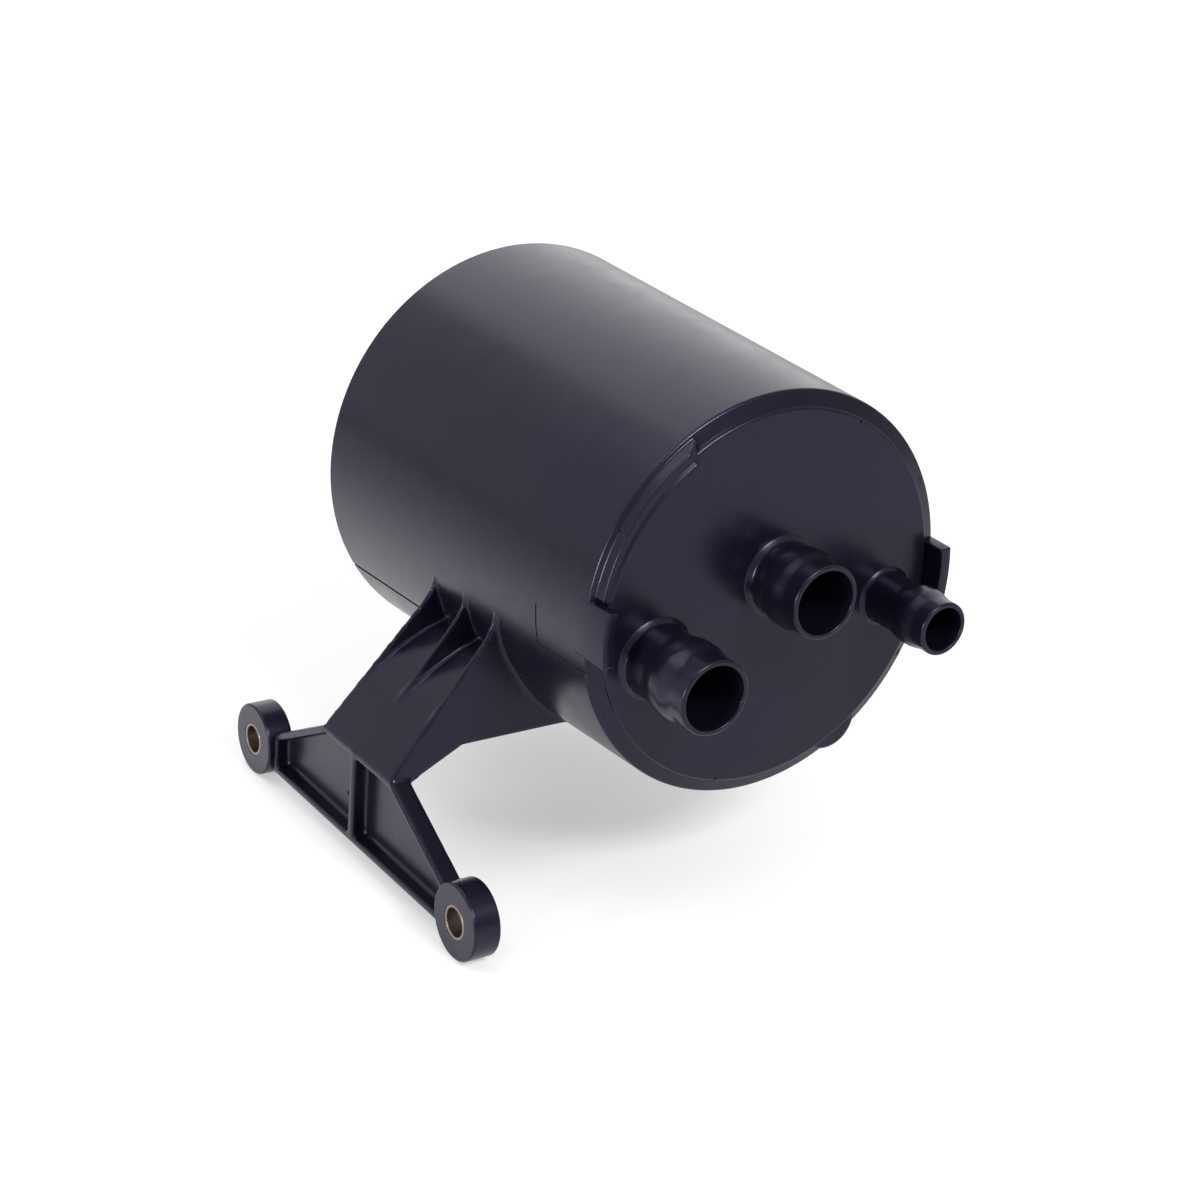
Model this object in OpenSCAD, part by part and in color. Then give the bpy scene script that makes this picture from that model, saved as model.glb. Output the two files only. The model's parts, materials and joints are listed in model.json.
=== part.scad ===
// Charcoal canister: a drafted round body with three hose spigots and a moulded two-lug bracket.
// Origin midway between the two bolt holes, on the lugs' mounting face.
// +X runs from the mounting face to the body, +Y from the spigots to the rear cover, +Z up.

/* [Body] */
// Length of the body from the front disc to the rear edge
body_len = 110; // [100:1:125]
// Outer radius of the side wall at the front rim
front_r = 47.5; // [46.5:0.5:50]
// Outer radius of the side wall at the rear edge
rear_r = 51; // [50:0.5:54]
// Thickness of the side wall
wall_t = 2.5; // [2:0.1:3]
// Thickness of the front wall
front_t = 3; // [2.5:0.1:4]
// Distance of the body's axis from the mounting face
axis_x = 75; // [72:0.5:80]
// Height of the body's axis above the bolt holes
axis_z = 64; // [62:0.5:68]
// Distance of the front disc ahead of the middle of the bolt holes
front_reach = 51.5; // [48:0.5:55]
// Width of the chamfer on the body's rear edge
rear_chamfer = 0.5; // [0.2:0.1:0.8]

/* [Front rim] */
// Width of the bevelled rim around the front disc
rim_w = 3.4; // [2.8:0.1:4]
// Depth of the bevel from the disc's edge to the side wall
rim_depth = 2.2; // [1.6:0.1:2.6]
// Height of the step at the disc's edge
disc_step = 0.5; // [0.3:0.1:0.8]
// Width of the two small notches in the disc's edge
notch_w = 1.4; // [1:0.1:2]
// Angle of the first notch, from +X towards +Z
notch_a = 63; // [55:1:70]
// Angle of the second notch, from +X towards +Z
notch_b = 256; // [250:1:262]
// Height of the raised strip in front of the disc
strip_h = 1; // [0.6:0.1:1.6]
// Width of the strip's flat front
strip_w = 2.2; // [1.6:0.1:2.6]
// Slope of the strip's outer edge
strip_slope = 0.5; // [0.3:0.1:0.8]
// How far the strip's outer foot lies inside the rim's outer edge
strip_inset = 0.9; // [0.5:0.1:1.2]
// Angle at which the strip begins, from +X towards +Z
strip_from = 121; // [115:1:130]
// Angle at which the strip ends, from +X towards +Z
strip_to = 170.5; // [165:0.5:171]
// Height of the two side tabs
tab_h = 13.2; // [11:0.1:14]
// Thickness of the side tabs
tab_t = 3; // [2.6:0.1:4]
// How far the side tabs stand in front of the disc
tab_reach = 5; // [4:0.1:6]
// How far the side tabs stand out from the rim
tab_proud = 0.2; // [0.1:0.1:0.8]
// Length of the shallow flat in the side wall behind the first tab
flat_len = 20.6; // [15:0.1:25]
// Height of the flat
flat_h = 7; // [5:0.1:9]
// Depth of the flat's rear end in the side wall
flat_depth = 0.4; // [0.3:0.1:1]
// Radius of the rounded boss low on the rim
boss_r = 7.5; // [6.5:0.1:9]
// How far the boss stands out from the rim
boss_proud = 1.2; // [0.8:0.1:2]
// Length of the boss along the wall
boss_len = 18; // [12:1:25]
// Angle of the boss, from +X towards +Z
boss_a = 302.5; // [298:0.5:308]

/* [Spigots] */
// Place of the side spigot across the disc, from the axis
side_x = -29.8; // [-31:0.1:-28]
// Height of the side spigot above the axis
side_z = -8.9; // [-11:0.1:-7]
// Length of the side spigot
side_len = 22; // [19:0.1:26]
// Length of the side spigot's straight tip
side_nose = 5.4; // [4:0.1:6.5]
// Place of the middle spigot across the disc, from the axis
mid_x = 2; // [0:0.1:4]
// Height of the middle spigot above the axis
mid_z = 5; // [3:0.1:7]
// Length of the middle spigot
mid_len = 16.4; // [15.5:0.1:20]
// Length of the middle spigot's straight tip
mid_nose = 4.4; // [3.5:0.1:5]
// Place of the small spigot across the disc, from the axis
small_x = 33; // [31:0.1:34]
// Height of the small spigot above the axis
small_z = -5; // [-7:0.1:-3]
// Length of the small spigot
small_len = 20.8; // [18:0.1:25]
// Length of the small spigot's straight tip
small_nose = 3.6; // [2.8:0.1:5]
// Outer radius of the large spigots' tube
large_tube_r = 8.5; // [8.3:0.1:8.8]
// Radius of the large spigots' barb
large_barb_r = 9.4; // [9:0.1:10]
// Outer radius of the large spigots' tip
large_tip_r = 8.6; // [8.3:0.1:8.8]
// Radius of the large spigots' bore
large_bore_r = 7.4; // [7:0.1:7.6]
// Outer radius of the small spigot's tube
small_tube_r = 6.2; // [6:0.1:6.4]
// Radius of the small spigot's barb
small_barb_r = 7; // [6.7:0.1:7.4]
// Outer radius of the small spigot's tip
small_tip_r = 6.3; // [6.1:0.1:6.5]
// Radius of the small spigot's bore
small_bore_r = 5.1; // [4.7:0.1:5.3]
// Length of the taper from each barb to the straight tip
tip_taper = 3; // [2.4:0.1:3.6]
// Length of each barb's round land
barb_land = 3; // [2.4:0.1:3.6]
// Length of the slope behind each barb
barb_slope = 3; // [2.4:0.1:3.6]
// Width and height of the bevel at the large spigots' roots
large_root = 1.1; // [0.8:0.1:1.6]
// Width and height of the bevel at the small spigot's root
small_root = 0.7; // [0.5:0.1:1.2]
// Bevel on each spigot's tip
tip_bevel = 0.5; // [0.3:0.1:0.7]

/* [Bracket] */
// Distance between the two bolt holes
hole_spacing = 97; // [92:1:105]
// Radius of the lugs
lug_r = 8.8; // [8:0.1:10]
// Thickness of the lugs along the bolts
lug_t = 6.6; // [6:0.1:8]
// How far the bar's flanges lie behind the lug faces
bar_back = 1.4; // [0.5:0.1:2]
// How far the bar's ends reach into the lugs
lug_bite = 3.6; // [3:0.1:4.5]
// Thickness of the wall between each lug and the web's recess
lug_wall = 0.8; // [0.6:0.1:1.6]
// Height of the bar's ends above the bolt holes
bar_end_z = 3.1; // [2.5:0.1:4]
// Height of the bar's top above the bolt holes
bar_top = 18; // [16:0.1:20]
// Depth of the bar's lower edge below the bolt holes
bar_low = 5.3; // [4.5:0.1:6]
// Thickness of the bar's flanges
flange_t = 1.8; // [1.4:0.1:2.4]
// Height of the bar's edge left above the web
web_edge = 1.6; // [1.2:0.1:1.9]
// Thickness of the bar's web
web_t = 1.6; // [1.4:0.1:2.4]
// Thickness of the bar's middle rib
bar_rib_t = 2.4; // [1.8:0.1:3]
// Place of the bar's middle rib along the bar
bar_rib_y = 1.5; // [-2:0.1:4]
// Width of the arm where it meets the bar
arm_low_w = 31.9; // [29:0.1:34]
// Width of the arm where it meets the side wall
arm_top_w = 26.4; // [24:0.1:28]
// Place of the arm's upper end along the bar, from the middle of the bolt holes
arm_y = -1.2; // [-3:0.1:2]
// Angle on the side wall where the arm's outer face ends
arm_angle = 191.5; // [188:0.5:195]
// Reach of the curve at the arm's upper end, along the bolts
bend_in = 3.4; // [2.5:0.1:4.5]
// Height of the curve at the arm's upper end
bend_drop = 8.8; // [7:0.1:10]
// Length over which the arm's straight face leads into the curve
bend_lead = 6.5; // [5:0.1:7]
// Height of the arm's underside above the bolt holes
arm_under = 23.2; // [22:0.1:25]
// Length of the arm's sloped underside behind the bar
arm_rise = 13.4; // [11:0.1:17]
// Height of the pockets' lower ends above the bolt holes
pocket_low = 29.5; // [27:0.1:34]
// Angle below the arm's end where the pockets' floors end
pocket_turn = 13; // [10:0.5:16]
// How far the pockets' floors stand out from the side wall
pocket_lift = 0.4; // [0.2:0.1:0.8]
// Thickness of the three ribs between the pockets
arm_rib_t = 2; // [1.5:0.1:2.5]
// Outer radius of the metal bushes
bush_r = 4; // [3.8:0.1:4.6]
// Bore radius of the metal bushes
bush_bore_r = 3.3; // [2.8:0.1:3.4]

/* [Inside] */
// Place of the wall between the two beds, from the axis
divider_x = -14; // [-15.5:0.5:-12]
// Thickness of the wall between the two beds
divider_t = 2; // [1.6:0.1:2.6]
// Height of the bars that carry the front grids
stand_off = 5; // [4:0.1:7]
// Distance of the stand-off bars above and below the axis
stand_z = 21; // [19:0.5:25]
// Thickness of the stand-off bars
stand_t = 2; // [1.5:0.1:3]
// Thickness of the slotted grids and plates
grid_t = 2; // [1.5:0.1:3]
// Width of the slots
slot_w = 3; // [2:0.1:3.5]
// Distance from slot to slot
slot_pitch = 7; // [6:0.5:9]
// Solid edge around the slots
slot_edge = 3.5; // [3:0.1:5]
// Thickness of the fleece pads
fleece_t = 3; // [2:0.1:5]
// Compressed length of the springs
spring_len = 12; // [10:0.1:15]
// Mean radius of the small spring
spring_small_r = 9; // [8:0.1:10]
// Mean radius of the large spring
spring_large_r = 16; // [14:0.1:18]
// Radius of the spring wire
wire_r = 1; // [0.8:0.05:1.2]
// Turns of each spring
spring_turns = 3; // [2:0.5:4]
// Thickness of the rear cover
cover_t = 3; // [2.5:0.1:4]
// Width of the ledge that carries the rear cover
cover_ledge = 1; // [0.8:0.1:1.2]
// Height of the spring guides on the cover and the plates
guide_h = 3; // [2:0.1:4]
// Gap between the divider's rear edge and the cover, for the gas
turn_gap = 6; // [5:0.1:9]
// Clearance around the loose inner pieces
fit = 0.15; // [0.1:0.05:0.3]

/* [Hidden] */
$fn = 96;
// Small overrun of cuts and roots
eps = 1;
disc_r = front_r - rim_w;
// Outer and inner radius of the side wall at a distance behind the disc
function outer_r(s) = front_r + (rear_r - front_r) * (s - rim_depth) / (body_len - rim_depth);
function inner_r(s) = outer_r(s) - wall_t;
// Stations along the axis, from the disc to the rear
cover_s = body_len - cover_t;
grid_s = front_t + stand_off;
fleece_s = grid_s + grid_t;
carbon_s = fleece_s + fleece_t;
spring_s = cover_s - spring_len;
plate_s = spring_s - grid_t;
rear_fleece_s = plate_s - fleece_t;
cover_r = inner_r(cover_s) + cover_ledge;
// The springs sit in the middle of their halves
small_side = -1;
large_side = 1;
spring_small_x = (divider_x - divider_t / 2 - inner_r(spring_s)) / 2;
spring_large_x = (divider_x + divider_t / 2 + inner_r(spring_s)) / 2;
// Outer face of the arm, as points [x, z]
arm_wall_r = outer_r(front_reach);
arm_tip = [axis_x + arm_wall_r * cos(arm_angle), axis_z + arm_wall_r * sin(arm_angle)];
arm_foot = [bar_back, bar_top];
arm_bend = arm_tip - [bend_in, bend_drop];
arm_control = arm_bend + bend_lead * (arm_bend - arm_foot) / norm(arm_bend - arm_foot);
bend_steps = 6;
function arm_curve(t) = (1 - t) * (1 - t) * arm_bend + 2 * t * (1 - t) * arm_control + t * t * arm_tip;
function arm_face_x(z) = arm_foot[0]
    + (arm_bend[0] - arm_foot[0]) * (z - arm_foot[1]) / (arm_bend[1] - arm_foot[1]);
// Angle on the side wall where the pockets' floors end
pocket_angle = arm_angle + pocket_turn;
pocket_wall_r = arm_wall_r + pocket_lift;
// Radius inside the room to which the arm is drawn before the room is cut
arm_root_r = inner_r(front_reach) - wall_t / 2;
function arm_root(z) = [axis_x - sqrt(pow(arm_root_r, 2) - pow(axis_z - z, 2)), z];
// Share of the arm's height from the bar to its tip, and the arm's edges at a height, side -1 or 1
function arm_run(z) = (z - bar_top) / (arm_tip[1] - bar_top);
function arm_edge(side, z) = side * arm_low_w / 2
    + (arm_y + side * (arm_top_w - arm_low_w) / 2) * arm_run(z);
// Ends of the bar inside the lugs, and of the web's recess beside them
bar_end = hole_spacing / 2 - lug_r + lug_bite;
recess_end = hole_spacing / 2 - lug_r - lug_wall;
// Steps in one turn of a spring, and sides of its wire
turn_steps = 24;
wire_sides = 8;

plastic = [0.17, 0.165, 0.19];
bush_metal = [0.62, 0.55, 0.48];
spring_steel = [0.6, 0.6, 0.62];
fleece_white = [0.85, 0.84, 0.8];
carbon_black = [0.07, 0.07, 0.075];

// Frame on the body's axis at a distance behind the disc, local z to the rear
module on_axis(s) {
    translate([axis_x, s - front_reach, axis_z]) rotate([-90, 0, 0]) children();
}

// Frame on the front disc, local x and y across it and local z out of it
module on_front() {
    translate([axis_x, -front_reach, axis_z]) rotate([90, 0, 0]) children();
}

// Outline in [x, z], extruded from y0 to y1
module across(y0, y1) {
    translate([0, y1, 0]) rotate([90, 0, 0]) linear_extrude(y1 - y0) children();
}

// Outline in [y, z], extruded from x0 to x1
module along_bolt(x0, x1) {
    translate([x0, 0, 0]) rotate([90, 0, 90]) linear_extrude(x1 - x0) children();
}

// Drafted outer form with its bevelled rim and stepped disc
module body_form() {
    on_axis(0) rotate_extrude() polygon([
        [0, 0],
        [disc_r, 0],
        [disc_r, disc_step],
        [front_r, rim_depth],
        [rear_r, body_len - rear_chamfer],
        [rear_r - rear_chamfer, body_len],
        [0, body_len]
    ]);
}

// Inner room, open at the rear, with the ledge for the cover
module body_room() {
    on_axis(front_t) cylinder(h = cover_s - front_t, r1 = inner_r(front_t), r2 = inner_r(cover_s));
    on_axis(cover_s) cylinder(h = cover_t + eps, r = cover_r);
}

// One spigot without its bore
module spigot(x, z, len, nose, tube_r, barb_r, tip_r, root) {
    barb_end = len - nose - tip_taper;
    barb_start = barb_end - barb_land;
    on_front() translate([x, z, 0]) rotate_extrude() polygon([
        [0, -eps],
        [tube_r + root, -eps],
        [tube_r + root, 0],
        [tube_r, root],
        [tube_r, barb_start - barb_slope],
        [barb_r, barb_start],
        [barb_r, barb_end],
        [tip_r, barb_end + tip_taper],
        [tip_r, len - tip_bevel],
        [tip_r - tip_bevel, len],
        [0, len]
    ]);
}

module large_spigot(x, z, len, nose) {
    spigot(x, z, len, nose, large_tube_r, large_barb_r, large_tip_r, large_root);
}

module small_spigot(x, z, len, nose) {
    spigot(x, z, len, nose, small_tube_r, small_barb_r, small_tip_r, small_root);
}

module spigot_bore(x, z, len, bore_r) {
    on_front() translate([x, z, -front_t - eps]) cylinder(h = len + front_t + 2 * eps, r = bore_r);
}

// Raised strip, side tabs and boss on the rim
module rim_features() {
    strip_foot = front_r - strip_inset;
    strip_out = strip_foot - strip_slope;
    on_front() rotate([0, 0, strip_from]) rotate_extrude(angle = strip_to - strip_from) polygon([
        [strip_out - strip_w, -front_t / 2],
        [strip_out - strip_w, strip_h],
        [strip_out, strip_h],
        [strip_foot, -rim_depth],
        [strip_foot, -front_t]
    ]);
    tab_out = front_r + tab_proud;
    for (side = [-1, 1])
        on_front() translate([side * (tab_out - tab_t / 2), 0, (tab_reach - rim_depth - eps) / 2])
            cube([tab_t, tab_h, tab_reach + rim_depth + eps], center = true);
    on_front() rotate([0, 0, boss_a]) translate([front_r + boss_proud - boss_r, 0, -boss_len])
        cylinder(h = boss_len - rim_depth / 2, r = boss_r);
}

// Shallow flat along the side wall, level with the axis at its upper edge
module wall_flat() {
    flat_x = outer_r(flat_len) - flat_depth;
    on_front() translate([-flat_x - wall_t, -flat_h, -flat_len]) cube([wall_t, flat_h, flat_len - rim_depth]);
}

// Small notches in the disc's edge
module disc_notches() {
    for (a = [notch_a, notch_b])
        on_front() rotate([0, 0, a]) translate([disc_r - notch_w / 2, 0, 0])
            cube([notch_w, notch_w, 2 * disc_step], center = true);
}

// One half of the web's recess in the bar, side -1 or 1
module bar_recess(side) {
    shoulder = arm_low_w / 2;
    rib_edge = bar_rib_t / 2 + side * bar_rib_y;
    slope = (bar_end_z - bar_top) / (bar_end - shoulder);
    drop = flange_t * sqrt(1 + slope * slope);
    recess_top = bar_top - web_edge;
    along_bolt(bar_back - eps, lug_t - web_t) polygon([
        [side * rib_edge, flange_t - bar_low],
        [side * recess_end, flange_t - bar_low],
        [side * recess_end, bar_top + slope * (recess_end - shoulder) - drop],
        [side * (shoulder + (drop - web_edge) / slope), recess_top],
        [side * rib_edge, recess_top]
    ]);
}

// Bar with its flanges, web and two lugs
module bracket_bar() {
    difference() {
        along_bolt(bar_back, lug_t) polygon([
            [-arm_low_w / 2, bar_top],
            [arm_low_w / 2, bar_top],
            [bar_end, bar_end_z],
            [bar_end, -bar_low],
            [-bar_end, -bar_low],
            [-bar_end, bar_end_z]
        ]);
        for (side = [-1, 1]) bar_recess(side);
    }
    for (side = [-1, 1])
        translate([0, side * hole_spacing / 2, 0]) rotate([0, 90, 0]) cylinder(h = lug_t, r = lug_r);
}

// Arm from the bar to the side wall, with two pockets between three ribs
module bracket_arm() {
    under_bend = [lug_t + arm_rise, arm_under];
    pocket_tip = [arm_face_x(pocket_low), pocket_low];
    pocket_floor = [
        axis_x + pocket_wall_r * cos(pocket_angle),
        axis_z + pocket_wall_r * sin(pocket_angle)
    ];
    below = bar_top - web_edge - eps;
    above = arm_tip[1] + eps;
    difference() {
        intersection() {
            across(arm_y - arm_low_w, arm_y + arm_low_w) polygon(concat(
                [arm_foot],
                [for (i = [0 : bend_steps]) arm_curve(i / bend_steps)],
                [
                    arm_root(arm_tip[1]),
                    arm_root(arm_under),
                    under_bend,
                    [lug_t, bar_top - web_edge]
                ]
            ));
            along_bolt(0, axis_x) polygon([
                [arm_edge(-1, below), below],
                [arm_edge(1, below), below],
                [arm_edge(1, above), above],
                [arm_edge(-1, above), above]
            ]);
        }
        for (side = [-1, 1]) intersection() {
            across(arm_y - arm_low_w, arm_y + arm_low_w) polygon([
                pocket_tip,
                pocket_floor,
                [pocket_floor[0], above + eps],
                [0, above + eps],
                [0, pocket_low]
            ]);
            along_bolt(0, axis_x) polygon([
                [arm_y + side * arm_rib_t / 2, below],
                [arm_edge(side, below) - side * arm_rib_t, below],
                [arm_edge(side, above + eps) - side * arm_rib_t, above + eps],
                [arm_y + side * arm_rib_t / 2, above + eps]
            ]);
        }
    }
}

// Wall between the two beds and the bars that carry the front grids
module inner_walls() {
    span = 2 * rear_r;
    divider_len = cover_s - turn_gap - front_t;
    intersection() {
        union() {
            on_axis(front_t - eps) translate([divider_x - divider_t / 2, -span / 2, 0])
                cube([divider_t, span, divider_len + eps]);
            for (side = [-1, 1])
                on_axis(front_t - eps) translate([-span / 2, side * stand_z - stand_t / 2, 0])
                    cube([span, stand_t, stand_off + eps]);
        }
        on_axis(front_t - eps) cylinder(
            h = divider_len + eps,
            r1 = inner_r(front_t - eps) + wall_t / 2,
            r2 = inner_r(cover_s - turn_gap) + wall_t / 2
        );
    }
}

module canister_body() {
    color(plastic) {
        difference() {
            union() {
                body_form();
                rim_features();
                large_spigot(side_x, side_z, side_len, side_nose);
                large_spigot(mid_x, mid_z, mid_len, mid_nose);
                small_spigot(small_x, small_z, small_len, small_nose);
                bracket_bar();
                bracket_arm();
            }
            body_room();
            disc_notches();
            wall_flat();
            spigot_bore(side_x, side_z, side_len, large_bore_r);
            spigot_bore(mid_x, mid_z, mid_len, large_bore_r);
            spigot_bore(small_x, small_z, small_len, small_bore_r);
            for (side = [-1, 1])
                translate([-eps, side * hole_spacing / 2, 0]) rotate([0, 90, 0])
                    cylinder(h = lug_t + 2 * eps, r = bush_r);
        }
        inner_walls();
    }
}

// Welded cover with two guides for the springs
module rear_cover() {
    color(plastic) {
        on_axis(cover_s) cylinder(h = cover_t, r = cover_r - fit);
        spring_guide(cover_s - guide_h, spring_small_x, spring_small_r);
        spring_guide(cover_s - guide_h, spring_large_x, spring_large_r);
    }
}

// Round guide inside a spring's end
module spring_guide(s, x, spring_r) {
    on_axis(s) translate([x, 0, 0]) cylinder(h = guide_h, r = spring_r - wire_r - 2 * fit);
}

// Metal bush in a lug, at side -1 or 1 along the bar
module bush(side) {
    color(bush_metal) translate([0, side * hole_spacing / 2, 0]) rotate([0, 90, 0]) difference() {
        cylinder(h = lug_t, r = bush_r);
        translate([0, 0, -eps]) cylinder(h = lug_t + 2 * eps, r = bush_bore_r);
    }
}

module bush_front() {
    bush(-1);
}

module bush_rear() {
    bush(1);
}

// Slice of one bed's room, with an edge kept free all round
module bed_slice(side, s, t, edge = fit) {
    span = 2 * rear_r;
    near = divider_x + side * (divider_t / 2 + edge);
    on_axis(s) intersection() {
        cylinder(h = t, r1 = inner_r(s) - edge, r2 = inner_r(s + t) - edge);
        translate([side > 0 ? near : near - span, -span / 2, 0]) cube([span, span, t]);
    }
}

// Slots across one bed, cut through a plate, clear of a round spring seat
module bed_slots(side, s, seat_x, seat_r) {
    count = floor((rear_r - slot_edge) / slot_pitch);
    intersection() {
        bed_slice(side, s - eps, grid_t + 2 * eps, slot_edge);
        difference() {
            for (i = [-count : count])
                on_axis(s - eps) translate([-rear_r, i * slot_pitch - slot_w / 2, 0])
                    cube([2 * rear_r, slot_w, grid_t + 2 * eps]);
            if (seat_r > 0)
                on_axis(s - 2 * eps) translate([seat_x, 0, 0]) cylinder(h = grid_t + 4 * eps, r = seat_r);
        }
    }
}

module front_grid(side) {
    color(plastic) difference() {
        bed_slice(side, grid_s, grid_t);
        bed_slots(side, grid_s, 0, 0);
    }
}

module front_grid_small() {
    front_grid(small_side);
}

module front_grid_large() {
    front_grid(large_side);
}

module front_fleece_small() {
    color(fleece_white) bed_slice(small_side, fleece_s, fleece_t);
}

module front_fleece_large() {
    color(fleece_white) bed_slice(large_side, fleece_s, fleece_t);
}

module carbon_bed_small() {
    color(carbon_black) bed_slice(small_side, carbon_s, rear_fleece_s - carbon_s);
}

module carbon_bed_large() {
    color(carbon_black) bed_slice(large_side, carbon_s, rear_fleece_s - carbon_s);
}

module rear_fleece_small() {
    color(fleece_white) bed_slice(small_side, rear_fleece_s, fleece_t);
}

module rear_fleece_large() {
    color(fleece_white) bed_slice(large_side, rear_fleece_s, fleece_t);
}

// Slotted plate that a spring pushes onto the bed
module pressure_plate(side, seat_x, spring_r) {
    color(plastic) {
        difference() {
            bed_slice(side, plate_s, grid_t);
            bed_slots(side, plate_s, seat_x, spring_r + 2 * wire_r);
        }
        spring_guide(spring_s, seat_x, spring_r);
    }
}

module pressure_plate_small() {
    pressure_plate(small_side, spring_small_x, spring_small_r);
}

module pressure_plate_large() {
    pressure_plate(large_side, spring_large_x, spring_large_r);
}

// Round wire wound between the plate and the cover
module spring(x, spring_r) {
    steps = ceil(turn_steps * spring_turns);
    sides = wire_sides;
    rise = spring_len - 2 * wire_r;
    points = [for (i = [0 : steps]) for (j = [0 : sides - 1])
        let (a = 360 * spring_turns * i / steps, b = 360 * j / sides, r = spring_r + wire_r * cos(b))
        [r * cos(a), r * sin(a), wire_r + rise * i / steps + wire_r * sin(b)]];
    skin = [for (i = [0 : steps - 1]) for (j = [0 : sides - 1])
        let (k = i * sides, n = (j + 1) % sides)
        each [[k + j, k + n, k + sides + n], [k + j, k + sides + n, k + sides + j]]];
    front_end = [for (j = [sides - 1 : -1 : 0]) j];
    rear_end = [for (j = [0 : sides - 1]) steps * sides + j];
    color(spring_steel) on_axis(spring_s) translate([x, 0, 0])
        polyhedron(points, concat(skin, [front_end, rear_end]));
}

module spring_small() {
    spring(spring_small_x, spring_small_r);
}

module spring_large() {
    spring(spring_large_x, spring_large_r);
}

canister_body();
rear_cover();
bush_front();
bush_rear();
front_grid_small();
front_grid_large();
front_fleece_small();
front_fleece_large();
carbon_bed_small();
carbon_bed_large();
rear_fleece_small();
rear_fleece_large();
pressure_plate_small();
pressure_plate_large();
spring_small();
spring_large();
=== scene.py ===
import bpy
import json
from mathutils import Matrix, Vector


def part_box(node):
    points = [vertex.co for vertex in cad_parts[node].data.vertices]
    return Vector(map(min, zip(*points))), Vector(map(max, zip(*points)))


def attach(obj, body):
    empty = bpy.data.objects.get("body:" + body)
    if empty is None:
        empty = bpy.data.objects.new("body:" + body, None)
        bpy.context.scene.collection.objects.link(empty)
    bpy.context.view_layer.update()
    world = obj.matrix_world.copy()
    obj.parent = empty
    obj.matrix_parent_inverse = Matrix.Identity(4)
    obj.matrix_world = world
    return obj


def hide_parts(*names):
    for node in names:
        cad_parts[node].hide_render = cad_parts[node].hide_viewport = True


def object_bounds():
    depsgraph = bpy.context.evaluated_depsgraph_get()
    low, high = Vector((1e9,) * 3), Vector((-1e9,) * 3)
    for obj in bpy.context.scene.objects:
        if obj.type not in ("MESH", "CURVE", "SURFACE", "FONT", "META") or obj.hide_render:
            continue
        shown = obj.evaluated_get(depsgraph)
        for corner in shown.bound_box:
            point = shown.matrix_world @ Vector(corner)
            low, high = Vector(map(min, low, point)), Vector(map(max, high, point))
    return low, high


bl_info = {
    "name": "Charcoal canister",
    "version": (1, 0, 0),
    "blender": (4, 5, 0),
    "location": "View3D > Sidebar > Canister",
    "description": "Moulded charcoal canister with hose spigots and a bolted bracket",
    "category": "Add Mesh",
}

import json
import math

import bmesh
import bpy
from bpy.props import FloatProperty, FloatVectorProperty, IntProperty, PointerProperty
from mathutils import Matrix, Vector

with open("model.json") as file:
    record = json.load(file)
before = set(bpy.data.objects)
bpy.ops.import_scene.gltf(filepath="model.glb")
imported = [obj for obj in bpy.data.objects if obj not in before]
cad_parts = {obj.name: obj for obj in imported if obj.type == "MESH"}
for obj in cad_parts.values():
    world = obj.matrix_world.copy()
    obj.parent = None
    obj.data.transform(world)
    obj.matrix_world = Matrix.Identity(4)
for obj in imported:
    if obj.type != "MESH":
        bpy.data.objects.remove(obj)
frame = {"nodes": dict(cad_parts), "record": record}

CAD_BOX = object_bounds()
FLOOR_Z = CAD_BOX[0][2]
MM = 0.001
TURN = 2 * math.pi

# Points closer than this are one point, and edges sharper than this stay sharp in the shading
MERGE = 1e-6
SHARP = math.radians(32)

# Edges of the tabs that turn more than this are rounded
CORNER = TURN / 6

# How far a cutter reaches past what it cuts
CLEAR = 1 * MM

# Distance of the points that guard a rounded edge, and the length of a stretch that needs them
GUARD = 0.25 * MM
LONG_STRETCH = 6 * GUARD

# Share of the way to its neighbours' middle that a smoothing pass moves a point
SMOOTHING = 0.5

# Facets of round pieces, and steps of pieces that go part of the way around
COVER_FACETS = 192
LUG_FACETS = 128
BUSH_FACETS = 96
BOSS_FACETS = 96
GUIDE_FACETS = 64
PIT_FACETS = 32
STRIP_STEPS = 96
PATCH_STEPS = 48
TAB_STEPS = 24
CUTTER_STEPS = 16

# Range that most values of a noise texture fill
NOISE_LOW = 0.3
NOISE_HIGH = 0.7

# Width of the camera's sensor in millimetres, and the nearest distance that the camera sees
SENSOR_WIDTH = 36
NEAREST_SEEN = 10 * MM

# Places that the frame gives
MOUNTS = {mount["name"]: mount for mount in frame["record"]["mounts"]}
BOLTS = MOUNTS["bracket_bolts"]["dims"]
BOLT_SPACING = BOLTS["spacing_x_mm"] * MM
BODY_LOW, BODY_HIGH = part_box("canister_body")
COVER_LOW, COVER_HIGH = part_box("rear_cover")
BUSH_LOW, BUSH_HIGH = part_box("bush_front")
AXIS_X = (COVER_LOW.x + COVER_HIGH.x) / 2
AXIS_Z = (COVER_LOW.z + COVER_HIGH.z) / 2
AXIS_POINT = (AXIS_X, 0, AXIS_Z)
REAR_RADIUS = BODY_HIGH.x - AXIS_X

# Direction of the body's axis, and the opposite one, about which a spin goes from +X towards +Z
ALONG_AXIS = (0, 1, 0)
SPIN_UP = (0, -1, 0)


def length(name, description, millimetres):
    """A length property, with its default in millimetres."""
    default = millimetres * MM
    return FloatProperty(name=name, description=description, default=default, unit="LENGTH", precision=5)


def angle(name, description, degrees):
    """An angle property, with its default in degrees."""
    default = math.radians(degrees)
    return FloatProperty(name=name, description=description, default=default, unit="ROTATION")


def share(name, description, value):
    """A plain factor."""
    return FloatProperty(
        name=name, description=description, default=value, subtype="FACTOR", min=0, soft_max=1,
    )


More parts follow.
